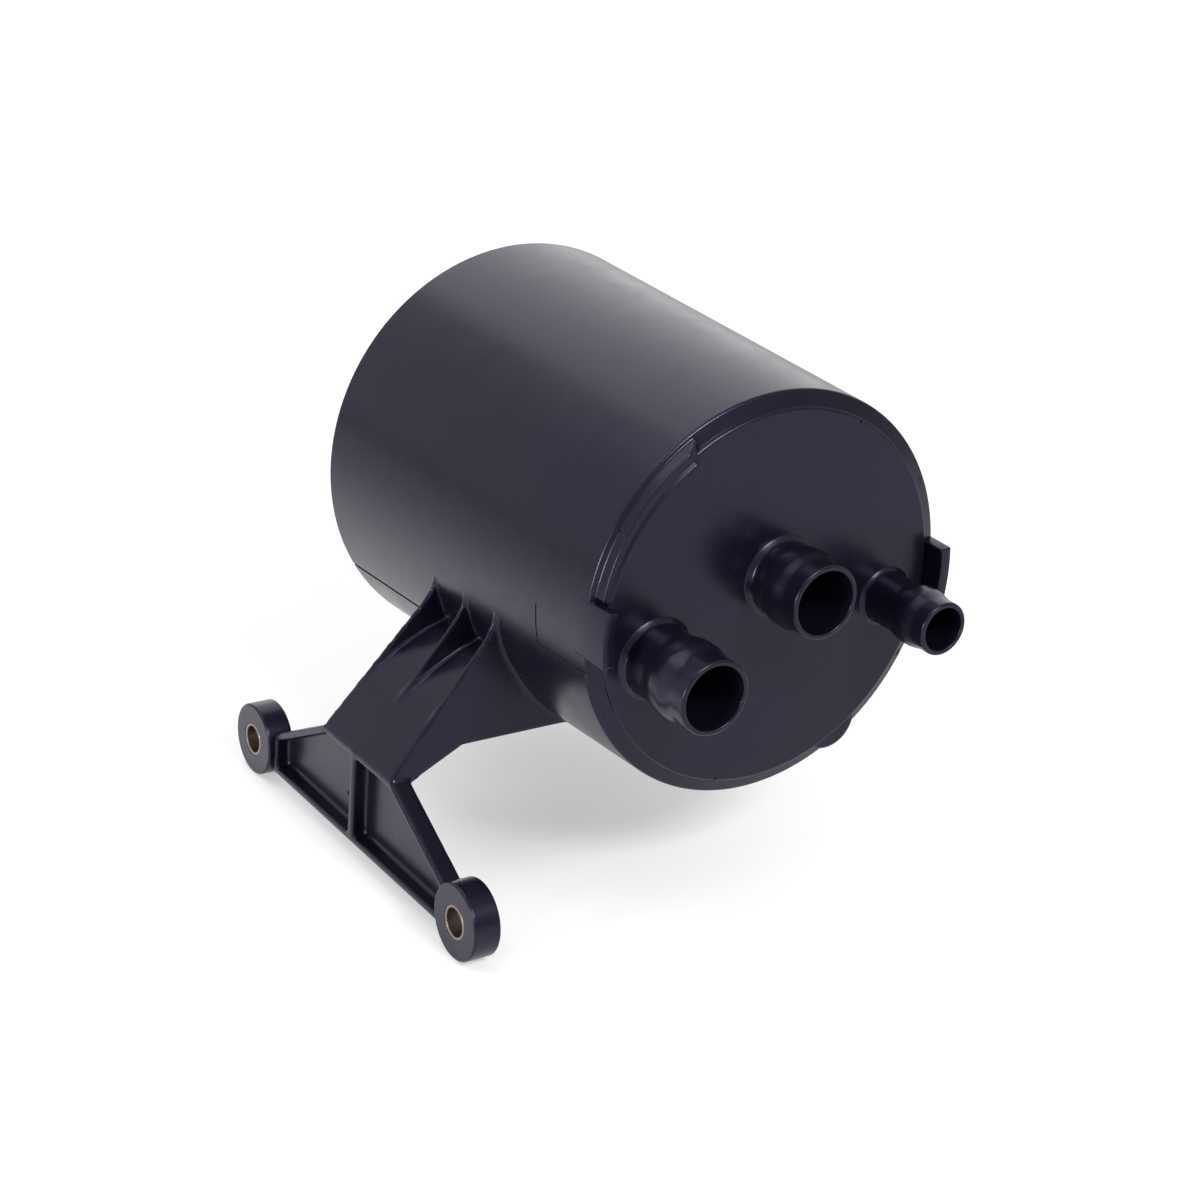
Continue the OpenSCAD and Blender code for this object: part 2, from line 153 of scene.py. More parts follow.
def power(name, description, watts):
    """A lamp's power."""
    return FloatProperty(name=name, description=description, default=watts, unit="POWER")


def count(name, description, value, least):
    """A whole number, with the least that it may be."""
    return IntProperty(name=name, description=description, default=value, min=least)


def position(name, description, place):
    """A place in metres."""
    return FloatVectorProperty(
        name=name, description=description, default=place, subtype="TRANSLATION", size=3,
    )


def colour(name, description, rgb):
    """A colour property."""
    return FloatVectorProperty(
        name=name, description=description, default=rgb, subtype="COLOR", size=3, min=0, max=1,
    )


class BodySizes(bpy.types.PropertyGroup):
    """Sizes of the drafted body and of what stands on its rim."""

    front_radius: length("Front radius", "Outer radius of the side wall at the rim", 47.5)
    rear_radius: length("Rear radius", "Outer radius of the side wall at the rear", REAR_RADIUS / MM)
    body_length: length("Length", "Distance from the front disc to the rear edge", 110)
    wall: length("Wall", "Thickness of the side wall", 2.5)
    front_wall: length("Front wall", "Thickness of the front wall", 3)
    rim_width: length("Rim width", "Width of the bevelled rim around the disc", 3.4)
    rim_depth: length("Rim depth", "Depth of the bevel from the disc to the wall", 2.2)
    disc_step: length("Disc step", "Height of the step at the disc's edge", 0.9)
    disc_round: length("Disc round", "Radius on the disc's edge", 0.7)
    edge_round: length("Edge round", "Radius on the moulding's fine edges", 0.35)
    cover_seat: length("Cover seat", "Depth of the cover's seat in the rear edge", 3)
    cover_ledge: length("Cover ledge", "Width of the ledge that carries the cover", 1)
    notch: length("Notch", "Width of the small notches in the disc's edge", 1)
    notch_depth: length("Notch depth", "Depth of the small notches", 0.25)
    notch_first: angle("First notch", "Angle of the first notch, from +X towards +Z", 63)
    notch_second: angle("Second notch", "Angle of the second notch, from +X towards +Z", 256)
    strip_height: length("Strip height", "Height of the raised strip in front of the disc", 1)
    strip_width: length("Strip width", "Width of the strip's flat front at its lower end", 2.1)
    strip_spread: length("Strip spread", "Extra width of the strip at its upper end", 1.6)
    strip_slope: length("Strip slope", "Slope of the strip's outer side", 0.3)
    strip_inset: length("Strip inset", "How far the strip's outer foot lies inside the rim's edge", 1.2)
    strip_lift: length("Strip lift", "How far the strip's foot stands in front of the rim's bevel", 0.02)
    bead_width: length("Bead width", "Width of the bead along the strip's inner edge", 1.2)
    bead_height: length("Bead height", "Height of the bead on the strip's flat front", 0.6)
    strip_ramp: angle("Strip ramp", "Angle over which the strip rises at its upper end", 4)
    strip_from: angle("Strip start", "Angle at which the strip begins", 121)
    strip_to: angle("Strip end", "Angle at which the strip ends", 170.5)
    tab_height: length("Tab height", "Height of the side tabs", 13.2)
    tab_thickness: length("Tab thickness", "Thickness of the side tabs", 3)
    tab_reach: length("Tab reach", "How far the tabs stand in front of the disc", 5)
    tab_proud: length("Tab proud", "How far the tabs stand out from the drafted wall", 0.03)
    flat_length: length("Flat length", "Length of the shallow flat behind the first tab", 20.6)
    flat_from: angle("Flat start", "Angle at which the flat begins", 181)
    flat_turn: angle("Flat turn", "Angle over which the flat goes", 11.5)
    flat_depth: length("Flat depth", "Depth of the flat in the wall", 0.14)
    boss_radius: length("Boss radius", "Radius of the rounded boss low on the rim", 7.5)
    boss_proud: length("Boss proud", "How far the boss stands out from the rim", 1.2)
    boss_length: length("Boss length", "Length of the boss along the wall", 18)
    boss_angle: angle("Boss angle", "Angle of the boss, from +X towards +Z", 302.5)
    line_angle: angle("Parting line", "Angle of the parting line on the side wall", 211.3)
    line_width: length("Line width", "Width of the parting line", 0.95)
    line_depth: length("Line depth", "Depth of the parting line", 0.6)
    line_from: length("Line start", "Place along the bolts' line where the parting line begins", 14)
    divider_x: length("Divider", "Place of the wall between the two beds, from the axis", -14)
    inner_wall: length("Inner wall", "Thickness of the walls inside", 2)
    turn_gap: length("Turn gap", "Gap between the divider and the cover", 6)
    stand_off: length("Stand-off", "Height of the bars that carry the grids", 5)
    stand_z: length("Stand-off place", "Distance of those bars from the axis", 21)
    facets: count("Facets", "Facets around the body", 256, 32)

    @property
    def disc_y(self):
        """Place of the front disc along the axis."""
        return BODY_HIGH.y - self.body_length

    @property
    def disc_radius(self):
        """Radius of the front disc inside the bevelled rim."""
        return self.front_radius - self.rim_width

    def outer(self, y):
        """Outer radius of the side wall at a place along the axis."""
        run = (y - self.disc_y - self.rim_depth) / (self.body_length - self.rim_depth)
        return self.front_radius + (self.rear_radius - self.front_radius) * run

    def inner(self, y):
        """Inner radius of the side wall at a place along the axis."""
        return self.outer(y) - self.wall

    def strip_foot(self, radius):
        """Distance behind the disc of the strip's foot at a radius, a hair in front of the rim's bevel."""
        run = (radius - self.disc_radius) / self.rim_width
        return self.disc_step + (self.rim_depth - self.disc_step) * run - self.strip_lift


class SpigotSizes(bpy.types.PropertyGroup):
    """Sizes of the three hose spigots."""

    side_nose: length("Side tip", "Length of the side spigot's straight tip", 5.4)
    middle_nose: length("Middle tip", "Length of the middle spigot's straight tip", 4.4)
    small_nose: length("Small tip length", "Length of the small spigot's straight tip", 3.6)
    tip_taper: length("Tip taper", "Length of the taper from the barb to the straight tip", 3)
    barb_land: length("Barb land", "Length of the barb's round land", 3)
    barb_slope: length("Barb slope", "Length of the slope behind the barb", 3)
    barb_round: length("Barb round", "Radius that softens the barb", 7)
    large_tube: length("Large tube", "Outer radius of the large spigots' tube", 8.5)
    large_tip: length("Large tip", "Outer radius of the large spigots' tip", 8.6)
    large_bore: length("Large bore", "Radius of the large spigots' bore", 7.4)
    large_root: length("Large root", "Width of the bevel at the large spigots' roots", 1.1)
    small_tube: length("Small tube", "Outer radius of the small spigot's tube", 6.2)
    small_tip: length("Small tip", "Outer radius of the small spigot's tip", 6.3)
    small_bore: length("Small bore", "Radius of the small spigot's bore", 5.1)
    small_root: length("Small root", "Width of the bevel at the small spigot's root", 0.8)
    root_round: length("Root round", "Radius that softens both ends of the bevels", 0.9)
    tip_round: length("Tip round", "Radius on the tip's outer edge", 0.5)
    sink: length("Sink", "Depth of the roots in the front wall", 0.4)
    dip: length("Dip", "How far the outer ends of the bevels dip under the disc", 0.03)
    facets: count("Facets", "Facets around each spigot", 128, 24)


class BracketSizes(bpy.types.PropertyGroup):
    """Sizes of the bracket's bar, arm, lugs and bushes."""

    lug_radius: length("Lug radius", "Radius of the lugs", -BODY_LOW.z / MM)
    lug_thickness: length("Lug thickness", "Thickness of the lugs along the bolts", BUSH_HIGH.x / MM)
    lug_round: length("Lug round", "Radius on the lugs' edges", 0.5)
    lug_bite: length("Lug bite", "How far the bar reaches into the lugs", 3.6)
    lug_wall: length("Lug wall", "Wall between each lug and the web's recess", 0.8)
    bar_back: length("Bar back", "How far the flanges lie behind the lug faces", 1.4)
    bar_top: length("Bar top", "Height of the bar's top above the bolt holes", 18)
    bar_low: length("Bar low", "Depth of the bar's lower edge below the bolt holes", 5.3)
    bar_end: length("Bar end", "Height of the bar's ends above the bolt holes", 3.1)
    flange: length("Flange", "Thickness of the bar's flanges", 1.8)
    web: length("Web", "Thickness of the bar's web", 1.6)
    web_edge: length("Web edge", "Height of the bar's edge left above the web", 1.6)
    bar_rib: length("Bar rib", "Thickness of the bar's middle rib", 2.4)
    bar_rib_y: length("Bar rib place", "Place of the middle rib along the bar", 1.5)
    arm_low: length("Arm foot", "Width of the arm where it meets the bar", 31.9)
    arm_high: length("Arm top", "Width of the arm where it meets the wall", 26.4)
    arm_y: length("Arm place", "Place of the arm's upper end along the bar", -1.2)
    arm_angle: angle("Arm angle", "Angle on the wall where the arm's face ends", 191.5)
    arm_under: length("Arm underside", "Height of the arm's underside above the bolt holes", 23.2)
    arm_rise: length("Arm rise", "Length of the sloped underside behind the bar", 13.4)
    bend_in: length("Bend in", "Reach of the curve at the arm's upper end", 3.4)
    bend_drop: length("Bend drop", "Height of the curve at the arm's upper end", 8.8)
    bend_lead: length("Bend lead", "Length that leads the face into the curve", 6.5)
    pocket_low: length("Pocket low", "Height of the pockets' lower ends", 28)
    pocket_lead: length("Pocket lead", "Height over which the floors leave the arm's face", 8)
    pocket_turn: angle("Pocket turn", "Angle below the arm's end where the floors end", 14.7)
    rib_edge: length("Rib edge", "Thickness of the three ribs beside the pockets, at the arm's face", 1.2)
    rib_draft: angle("Rib draft", "Angle at which each side of the ribs grows inwards", 3)
    mark_y: length("Mark place", "Place of the small pit in the web along the bar", 8.7)
    mark_z: length("Mark height", "Height of the small pit above the bolt holes", 3)
    mark_radius: length("Mark radius", "Radius of the small pit in the web", 0.6)
    foot_round: length("Foot round", "Radius of the bend from the bar to the arm", 4.5)
    root_depth: length("Root depth", "How deep the arm reaches into the side wall", 1.2)
    patch_sink: length("Patch sink", "How far the blend's skin lies under the wall", 0.05)
    patch_margin: length("Patch margin", "Width of the blend's skin around the arm", 5)
    voxel: length("Voxel", "Grain of the blended mesh", 0.42)
    soften: count("Soften", "Smoothing passes on the blended mesh", 4, 0)
    bush_radius: length("Bush radius", "Outer radius of the bushes", (BUSH_HIGH.z - BUSH_LOW.z) / 2 / MM)
    bush_bore: length("Bush bore", "Bore radius of the bushes", BOLTS["hole_r_mm"])
    bush_round: length("Bush round", "Radius on the bushes' edges", 0.18)


class CoverSizes(bpy.types.PropertyGroup):
    """Sizes of the welded rear cover."""

    edge_round: length("Edge round", "Radius on the cover's outer edge", 0.5)
    dish_radius: length("Dish radius", "Radius of the shallow dish", 43)
    dish_depth: length("Dish depth", "Depth of the shallow dish", 0.6)
    guide_height: length("Guide height", "Height of the spring guides", 3)
    guide_play: length("Guide play", "Gap between a guide and its spring", 0.3)
    wire: length("Spring wire", "Thickness of the springs' wire", 2)


class Finishes(bpy.types.PropertyGroup):
    """Colours and surfaces."""

    plastic: colour("Plastic", "Bluish-black moulded plastic", (0.004, 0.0034, 0.0085))
    plastic_pale: colour("Plastic, pale", "Paler patches of the plastic", (0.006, 0.0053, 0.0115))
    plastic_rough: share("Plastic roughness", "Roughness of the moulded skin", 0.27)
    rough_spread: share("Roughness spread", "How far the skin's roughness drifts to either side", 0.03)
    plastic_gloss: share("Plastic gloss", "Strength of the moulded skin's gloss", 0.45)
    gloss_tint: colour("Gloss tint", "Bluish tint of the moulded skin's gloss", (0.71, 0.67, 1.0))
    grain: length("Grain", "Depth of the moulded skin's grain", 0.03)
    bush: colour("Bush", "Turned metal of the bushes", (0.28, 0.23, 0.19))
    grid: colour("Grid", "Plain black plastic of the grids", (0.02, 0.02, 0.02))
    fleece: colour("Fleece", "White felt", (0.72, 0.71, 0.67))
    carbon: colour("Carbon", "Carbon pellets", (0.015, 0.015, 0.016))
    steel: colour("Spring steel", "Drawn spring wire", (0.55, 0.55, 0.57))


class StageSettings(bpy.types.PropertyGroup):
    """Floor, light and camera; the lamps' places are given from the object's middle."""

    floor_size: length("Floor size", "Side of the floor", 60000)
    floor_colour: colour("Floor", "Pale floor", (0.65, 0.65, 0.65))
    floor_glow: share("Floor glow", "White that the floor shows the camera on top of its shade", 0.41)
    glow_place: position("Glow place", "Point around which reflections see the glow", (0, 0.06, FLOOR_Z))
    glow_fade: length("Glow fade", "Distance at which the glow has faded from reflections", 240)
    glow_full: length("Full glow", "Distance within which reflections see the full glow", 60)
    front_light: share("Front light", "Strength of the surroundings in front of the object", 0.36)
    back_light: share("Back light", "Strength of the surroundings behind the object", 0.7)
    light_turn: share("Light turn", "Y of the directions at which the surroundings stop changing", 0.7)
    front_power: power("Front power", "Power of the lamp in front", 8)
    front_size: length("Front size", "Side of the lamp in front", 300)
    front_place: position("Front place", "Place of the lamp in front", (0.05, -0.85, 0.71))
    side_power: power("Side power", "Power of the lamp at the left", 7)
    side_size: length("Side size", "Side of the lamp at the left", 260)
    side_place: position("Side place", "Place of the lamp at the left", (-1.08, -0.19, 0.14))
    over_power: power("Overhead power", "Power of the soft lamp overhead", 3)
    over_size: length("Overhead size", "Side of the soft lamp overhead", 800)
    over_place: position("Overhead place", "Place of the soft lamp overhead", (-0.4, 0.3, 1.05))
    top_power: power("Top power", "Power of the soft lamp above the rear", 5.3)
    top_size: length("Top size", "Side of the soft lamp above the rear", 1400)
    top_place: position("Top place", "Place of the soft lamp above the rear", (0.54, 0.92, 0.58))
    azimuth: angle("Azimuth", "Camera's turn around the object", -35.16)
    elevation: angle("Elevation", "Camera's height angle", 23.03)
    roll: angle("Roll", "Camera's roll", 4.56)
    distance: length("Distance", "Camera's distance from its target", 570)
    target: position("Target", "Point that the camera looks at", (0.05235, -0.01885, 0.0546))
    lens: FloatProperty(name="Lens", description="Camera's focal length", default=75.65, unit="CAMERA")


def guarded(points, closed):
    """Adds a point close to each end of every long stretch, so that smooth shading keeps to the rounding."""
    result = []
    ahead = points[1:] + points[:1]
    for index, (here, there) in enumerate(zip(points, ahead)):
        result.append(here)
        step = there - here
        drawn = closed or index < len(points) - 1
        if drawn and step.length > LONG_STRETCH:
            result.append(here + step.normalized() * GUARD)
            result.append(there - step.normalized() * GUARD)
    return result


def rounded_outline(corners, closed=True, arc_steps=6):
    """Points along corners given as (a, b, radius), where a corner with a radius becomes an arc."""
    points = []
    for index, (a, b, radius) in enumerate(corners):
        corner = Vector((a, b))
        if radius <= 0:
            points.append(corner)
            continue
        back = (Vector(corners[index - 1][:2]) - corner).normalized()
        ahead = (Vector(corners[(index + 1) % len(corners)][:2]) - corner).normalized()
        half = back.angle(ahead) / 2
        reach = radius / math.tan(half)
        centre = corner + (back + ahead).normalized() * (radius / math.sin(half))
        start = corner + back * reach - centre
        end = corner + ahead * reach - centre
        for step in range(arc_steps + 1):
            points.append(centre + start.slerp(end, step / arc_steps).normalized() * radius)
    return guarded(points, closed)


def close_solid(bm):
    """Merges doubles, fills open ends and turns the faces outwards."""
    bmesh.ops.remove_doubles(bm, verts=bm.verts, dist=MERGE)
    open_edges = [edge for edge in bm.edges if edge.is_boundary]
    if open_edges:
        bmesh.ops.holes_fill(bm, edges=open_edges, sides=0)
    bmesh.ops.recalc_face_normals(bm, faces=bm.faces)
    return bm


def spun(points, place, centre, axis, steps, sweep=TURN, closed=True):
    """A solid made by spinning an outline; place turns an outline point into a point in space."""
    bm = bmesh.new()
    verts = [bm.verts.new(place(point)) for point in points]
    ahead = verts[1:] + verts[:1] if closed else verts[1:]
    edges = [bm.edges.new(pair) for pair in zip(verts, ahead)]
    bmesh.ops.spin(
        bm, geom=verts + edges, cent=centre, axis=axis, angle=sweep, steps=steps,
        use_merge=sweep == TURN, use_duplicate=False,
    )
    return close_solid(bm)


def prism(points, low, high):
    """A solid between two sides of one outline; low and high turn an outline point into a point in space."""
    bm = bmesh.new()
    face = bm.faces.new([bm.verts.new(low(point)) for point in points])
    moves = {tuple(vert.co): high(point) - low(point) for vert, point in zip(face.verts, points)}
    grown = bmesh.ops.extrude_face_region(bm, geom=[face])
    for element in grown["geom"]:
        if isinstance(element, bmesh.types.BMVert):
            element.co += moves[tuple(element.co)]
    return close_solid(bm)


def block(low, high):
    """A box between two corners."""
    bm = bmesh.new()
    bmesh.ops.create_cube(bm, size=1)
    bmesh.ops.scale(bm, verts=bm.verts, vec=high - low)
    bmesh.ops.translate(bm, verts=bm.verts, vec=(low + high) / 2)
    return bm


def rod(start, end, radius, facets):
    """A straight round rod between two points."""
    bm = bmesh.new()
    run = end - start
    bmesh.ops.create_cone(
        bm, cap_ends=True, segments=facets, radius1=radius, radius2=radius, depth=run.length,
    )
    bmesh.ops.rotate(bm, verts=bm.verts, cent=(0, 0, 0), matrix=run.to_track_quat("Z", "Y").to_matrix())
    bmesh.ops.translate(bm, verts=bm.verts, vec=(start + end) / 2)
    return bm


def turned_about_axis(bm, turn):
    """Turns a solid about the body's axis, from +X towards +Z."""
    bmesh.ops.rotate(bm, verts=bm.verts, cent=AXIS_POINT, matrix=Matrix.Rotation(-turn, 3, "Y"))
    return bm


def beside(centre, along=0.0):
    """Puts an outline point (radius, distance past a place along Y) beside a line along Y."""
    return lambda point: Vector((centre[0] + point.x, along + point.y, centre[2]))


def joined(name, solids):
    """One object from several solids."""
    whole = bmesh.new()
    for bm in solids:
        part = bpy.data.meshes.new(name)
        bm.to_mesh(part)
        bm.free()
        whole.from_mesh(part)
        bpy.data.meshes.remove(part)
    mesh = bpy.data.meshes.new(name)
    whole.to_mesh(mesh)
    whole.free()
    piece = bpy.data.objects.new(name, mesh)
    bpy.context.scene.collection.objects.link(piece)
    return piece


def settle(piece):
    """Makes what the modifiers show the piece's own mesh."""
    shown = piece.evaluated_get(bpy.context.evaluated_depsgraph_get())
    mesh = bpy.data.meshes.new_from_object(shown)
    plain = piece.data
    piece.modifiers.clear()
    piece.data = mesh
    bpy.data.meshes.remove(plain)
    mesh.name = piece.name


def discard(piece):
    """Removes an object that only helped to make another, with its mesh."""
    mesh = piece.data
    bpy.data.objects.remove(piece)
    bpy.data.meshes.remove(mesh)


def cut(piece, solids):
    """Cuts solids out of a piece."""
    cutter = joined(piece.name + "_cut", solids)
    modifier = piece.modifiers.new("Cut", "BOOLEAN")
    modifier.operation = "DIFFERENCE"
    modifier.solver = "EXACT"
    modifier.object = cutter
    settle(piece)
    discard(cutter)


def absorb(piece, solids):
    """Adds solids to a piece's mesh."""
    extra = joined(piece.name + "_extra", solids)
    bm = bmesh.new()
    bm.from_mesh(piece.data)
    bm.from_mesh(extra.data)
    bm.to_mesh(piece.data)
    bm.free()
    discard(extra)


def finish_piece(piece, material, slot, *nodes):
    """Shades a piece, gives it its material and ties it to the frame."""
    piece.data.shade_smooth()
    piece.data.set_sharp_from_angle(angle=SHARP)
    piece.data.materials.clear()
    piece.data.materials.append(material)
    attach(piece, "root")
    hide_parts(*nodes)


class NodeBoard:
    """Short calls to lay out the nodes of a material or of the surroundings."""

    def __init__(self, tree):
        self.tree = tree

    def feed(self, node, socket, value):
        """Gives a node's socket a plain value, or a wire from another node's socket."""
        if isinstance(value, bpy.types.NodeSocket):
            self.tree.links.new(value, node.inputs[socket])
        else:
            node.inputs[socket].default_value = value

    def add(self, kind, sockets=None, **settings):
        """A node with its settings and with what feeds its sockets."""
        node = self.tree.nodes.new(kind)
        for key, value in settings.items():
            setattr(node, key, value)
        for socket, value in (sockets or {}).items():
            self.feed(node, socket, value)
        return node

    def combine(self, operation, first, second, **settings):
        """The sum or the product of two sockets or values."""
        node = self.add("ShaderNodeMath", {0: first, 1: second}, operation=operation, **settings)
        return node.outputs["Value"]

    def remap(self, value, from_min, from_max, to_min=0.0, to_max=1.0):
        """A value that goes from one range to another and stays inside it."""
        node = self.add("ShaderNodeMapRange", {
            "Value": value, "From Min": from_min, "From Max": from_max, "To Min": to_min, "To Max": to_max,
        })
        return node.outputs["Result"]


def fresh_material(name):
    """A material with its board of nodes and its principled shader."""
    material = bpy.data.materials.new(name)
    material.use_nodes = True
    tree = material.node_tree
    return material, NodeBoard(tree), tree.nodes["Principled BSDF"]


def cleared_board(owner):
    """The board of a material or of surroundings, with no nodes yet."""
    owner.use_nodes = True
    owner.node_tree.nodes.clear()
    return NodeBoard(owner.node_tree)


def object_space(board, stretch=None):
    """Object coordinates, stretched where a pattern runs one way."""
    source = board.add("ShaderNodeTexCoord").outputs["Object"]
    if stretch is None:
        return source
    return board.add("ShaderNodeMapping", {"Vector": source, "Scale": stretch}).outputs["Vector"]


def noise(board, scale, detail, stretch=None):
    """A noise pattern on Object coordinates."""
    sockets = {"Vector": object_space(board, stretch), "Scale": scale, "Detail": detail}
    return board.add("ShaderNodeTexNoise", sockets).outputs["Fac"]


def darker(rgb, factor):
    """A colour with less light in it."""
    return [factor * value for value in rgb]


def mottle(board, shader, dark, pale, scale, detail=3.0):
    """Base colour that drifts between two shades."""
    shades = {"A": (*dark, 1), "B": (*pale, 1), "Factor": noise(board, scale, detail)}
    mix = board.add("ShaderNodeMix", shades, data_type="RGBA")
    board.feed(shader, "Base Color", mix.outputs["Result"])


def vary_roughness(board, shader, low, high, scale):
    """Roughness that drifts between two values."""
    drift = board.remap(noise(board, scale, detail=2.0), NOISE_LOW, NOISE_HIGH, low, high)
    board.feed(shader, "Roughness", drift)


def grain_bump(board, shader, height, distance, strength):
    """Bump from a height socket."""
    bump = board.add("ShaderNodeBump", {"Height": height, "Distance": distance, "Strength": strength})
    board.feed(shader, "Normal", bump.outputs["Normal"])


def moulded_plastic(finishes):
    """Satin bluish-black plastic with a fine moulded grain, made once and shared."""
    material = bpy.data.materials.get("moulded_plastic")
    if material:
        return material
    material, board, shader = fresh_material("moulded_plastic")
    board.feed(shader, "Specular IOR Level", finishes.plastic_gloss)
    board.feed(shader, "Specular Tint", (*finishes.gloss_tint, 1))
    mottle(board, shader, finishes.plastic, finishes.plastic_pale, scale=45.0)
    rough, spread = finishes.plastic_rough, finishes.rough_spread
    vary_roughness(board, shader, low=rough - spread, high=rough + spread, scale=120.0)
    grain_bump(board, shader, noise(board, scale=2600.0, detail=2.0), finishes.grain, strength=0.25)
    return material


def turned_metal(finishes):
    """Dull turned metal with fine tool lines around the bore."""
    material, board, shader = fresh_material("turned_metal")
    board.feed(shader, "Metallic", 1.0)
    mottle(board, shader, darker(finishes.bush, 0.85), finishes.bush, scale=400.0)
    vary_roughness(board, shader, low=0.28, high=0.42, scale=900.0)
    lines = noise(board, scale=1.0, detail=1.0, stretch=(9000.0, 500.0, 500.0))
    grain_bump(board, shader, lines, distance=0.02 * MM, strength=0.5)
    return material


def grid_plastic(finishes):
    """Plain black plastic of the inner mouldings."""
    material, board, shader = fresh_material("grid_plastic")
    mottle(board, shader, darker(finishes.grid, 0.8), finishes.grid, scale=80.0)
    vary_roughness(board, shader, low=0.45, high=0.6, scale=200.0)
    grain_bump(board, shader, noise(board, scale=1800.0, detail=2.0), distance=0.03 * MM, strength=0.3)
    return material


def needled_felt(finishes):
    """White felt with tangled fibres."""
    material, board, shader = fresh_material("needled_felt")
    mottle(board, shader, darker(finishes.fleece, 0.8), finishes.fleece, scale=700.0, detail=6.0)
    board.feed(shader, "Roughness", 0.95)
    fibres = noise(board, scale=1.0, detail=5.0, stretch=(600.0, 2400.0, 900.0))
    grain_bump(board, shader, fibres, distance=0.3 * MM, strength=0.8)
    return material


def carbon_pellets(finishes):
    """Packed black pellets."""
    material, board, shader = fresh_material("carbon_pellets")
    mottle(board, shader, darker(finishes.carbon, 0.6), finishes.carbon, scale=500.0)
    vary_roughness(board, shader, low=0.55, high=0.85, scale=700.0)
    pellets = board.add("ShaderNodeTexVoronoi", {"Vector": object_space(board), "Scale": 450.0})
    grain_bump(board, shader, pellets.outputs["Distance"], distance=-0.8 * MM, strength=1.0)
    return material


def spring_wire(finishes):
    """Drawn steel wire."""
    material, board, shader = fresh_material("spring_wire")
    board.feed(shader, "Metallic", 1.0)
    mottle(board, shader, darker(finishes.steel, 0.8), finishes.steel, scale=900.0)
    vary_roughness(board, shader, low=0.22, high=0.38, scale=1500.0)
    return material


def shell_outline(sizes):
    """Section of the wall and the front, from the axis around the rear edge and back."""
    rear = sizes.body_length
    seat_y = COVER_HIGH.y - sizes.cover_seat
    seat = seat_y - sizes.disc_y
    seat_radius = sizes.inner(seat_y) + sizes.cover_ledge
    fine = sizes.edge_round
    return rounded_outline([
        (0, 0, 0),
        (sizes.disc_radius, 0, sizes.disc_round),
        (sizes.disc_radius, sizes.disc_step, fine / 3),
        (sizes.front_radius, sizes.rim_depth, 2 * fine),
        (sizes.rear_radius, rear, 1.5 * fine),
        (seat_radius, rear, fine),
        (seat_radius, seat, 0),
        (sizes.inner(seat_y), seat, 0),
        (sizes.inner(sizes.disc_y + sizes.front_wall), sizes.front_wall, 4 * fine),
        (0, sizes.front_wall, 0),
    ], closed=False)


def spigot_list(sizes):
    """The three spigots: middle x and z, tip y, length of the tip, barb, tube, tip, bore and root sizes."""
    found = []
    for name, kind in (("side_spigot", "large"), ("middle_spigot", "large"), ("small_spigot", "small")):
        mount = MOUNTS[name]
        x, y, z = mount["pos_m"]
        nose = getattr(sizes, name.replace("spigot", "nose"))
        tip_y = y - mount["dims"]["length_mm"] * MM / 2 - sizes.tip_taper - nose
        spigot = {part: getattr(sizes, f"{kind}_{part}") for part in ("tube", "tip", "bore", "root")}
        spigot.update(x=x, z=z, tip_y=tip_y, nose=nose, barb=mount["dims"]["r_mm"] * MM)
        found.append(spigot)
    return found


def rim_strip(sizes):
    """Raised strip with a bead along the upper left of the rim, wider and ramped at its upper end."""
    fine = sizes.edge_round
    edge = sizes.front_radius - 2 * fine
    foot = sizes.front_radius - sizes.strip_inset
    outer = foot - sizes.strip_slope
    inner = outer - sizes.strip_width
    bead = inner + sizes.bead_width
    crest = -sizes.strip_height - sizes.bead_height
    outline = rounded_outline([
        (inner, sizes.front_wall / 2, 0),
        (inner, crest, fine / 2),
        (bead - sizes.bead_width / 2, crest, 2 * fine),
        (bead, -sizes.strip_height, fine),
        (outer, -sizes.strip_height, fine),
        (foot, sizes.strip_foot(foot), 2 * fine),
        (edge, sizes.strip_foot(edge), 0),
        (edge, sizes.front_wall, 0),
    ])
    sweep = sizes.strip_to - sizes.strip_from
    place = beside(AXIS_POINT, sizes.disc_y)
    bm = spun(outline, place, AXIS_POINT, SPIN_UP, STRIP_STEPS, sweep=sweep)
    for vert in bm.verts:
        out = Vector((vert.co.x - AXIS_X, 0, vert.co.z - AXIS_Z))
        turn = math.atan2(out.z, out.x)
        lift = sizes.disc_y + sizes.disc_step - vert.co.y
        if out.length < (bead + outer) / 2:
            vert.co -= out.normalized() * sizes.strip_spread * (1 - turn / sweep)
        if turn < sizes.strip_ramp and lift > 0:
            vert.co.y += lift * (1 - turn / sizes.strip_ramp)
    return turned_about_axis(bm, sizes.strip_from)


def side_tabs(sizes):
    """The two tabs at the sides of the rim, which carry the wall on in front of the disc."""
    ends = (sizes.rim_depth + sizes.front_wall, -sizes.tab_reach)
    skin = [sizes.outer(sizes.disc_y + y) + sizes.tab_proud for y in ends]
    outline = [Vector((sizes.front_radius - sizes.tab_thickness, y)) for y in ends]
    outline += [Vector(pair) for pair in zip(reversed(skin), reversed(ends))]
    half = math.asin(sizes.tab_height / 2 / sizes.front_radius)
    place = beside(AXIS_POINT, sizes.disc_y)
    for middle in (0, TURN / 2):
        bm = spun(outline, place, AXIS_POINT, SPIN_UP, TAB_STEPS, sweep=2 * half)
        edges = [
            edge for edge in bm.edges
            if edge.calc_face_angle(0) > CORNER and min(vert.co.y for vert in edge.verts) < sizes.disc_y
        ]
        bmesh.ops.bevel(
            bm, geom=edges, offset=sizes.edge_round, offset_type="OFFSET", segments=3, profile=0.5,
            affect="EDGES", material=-1,
        )
        yield turned_about_axis(bm, middle - half)


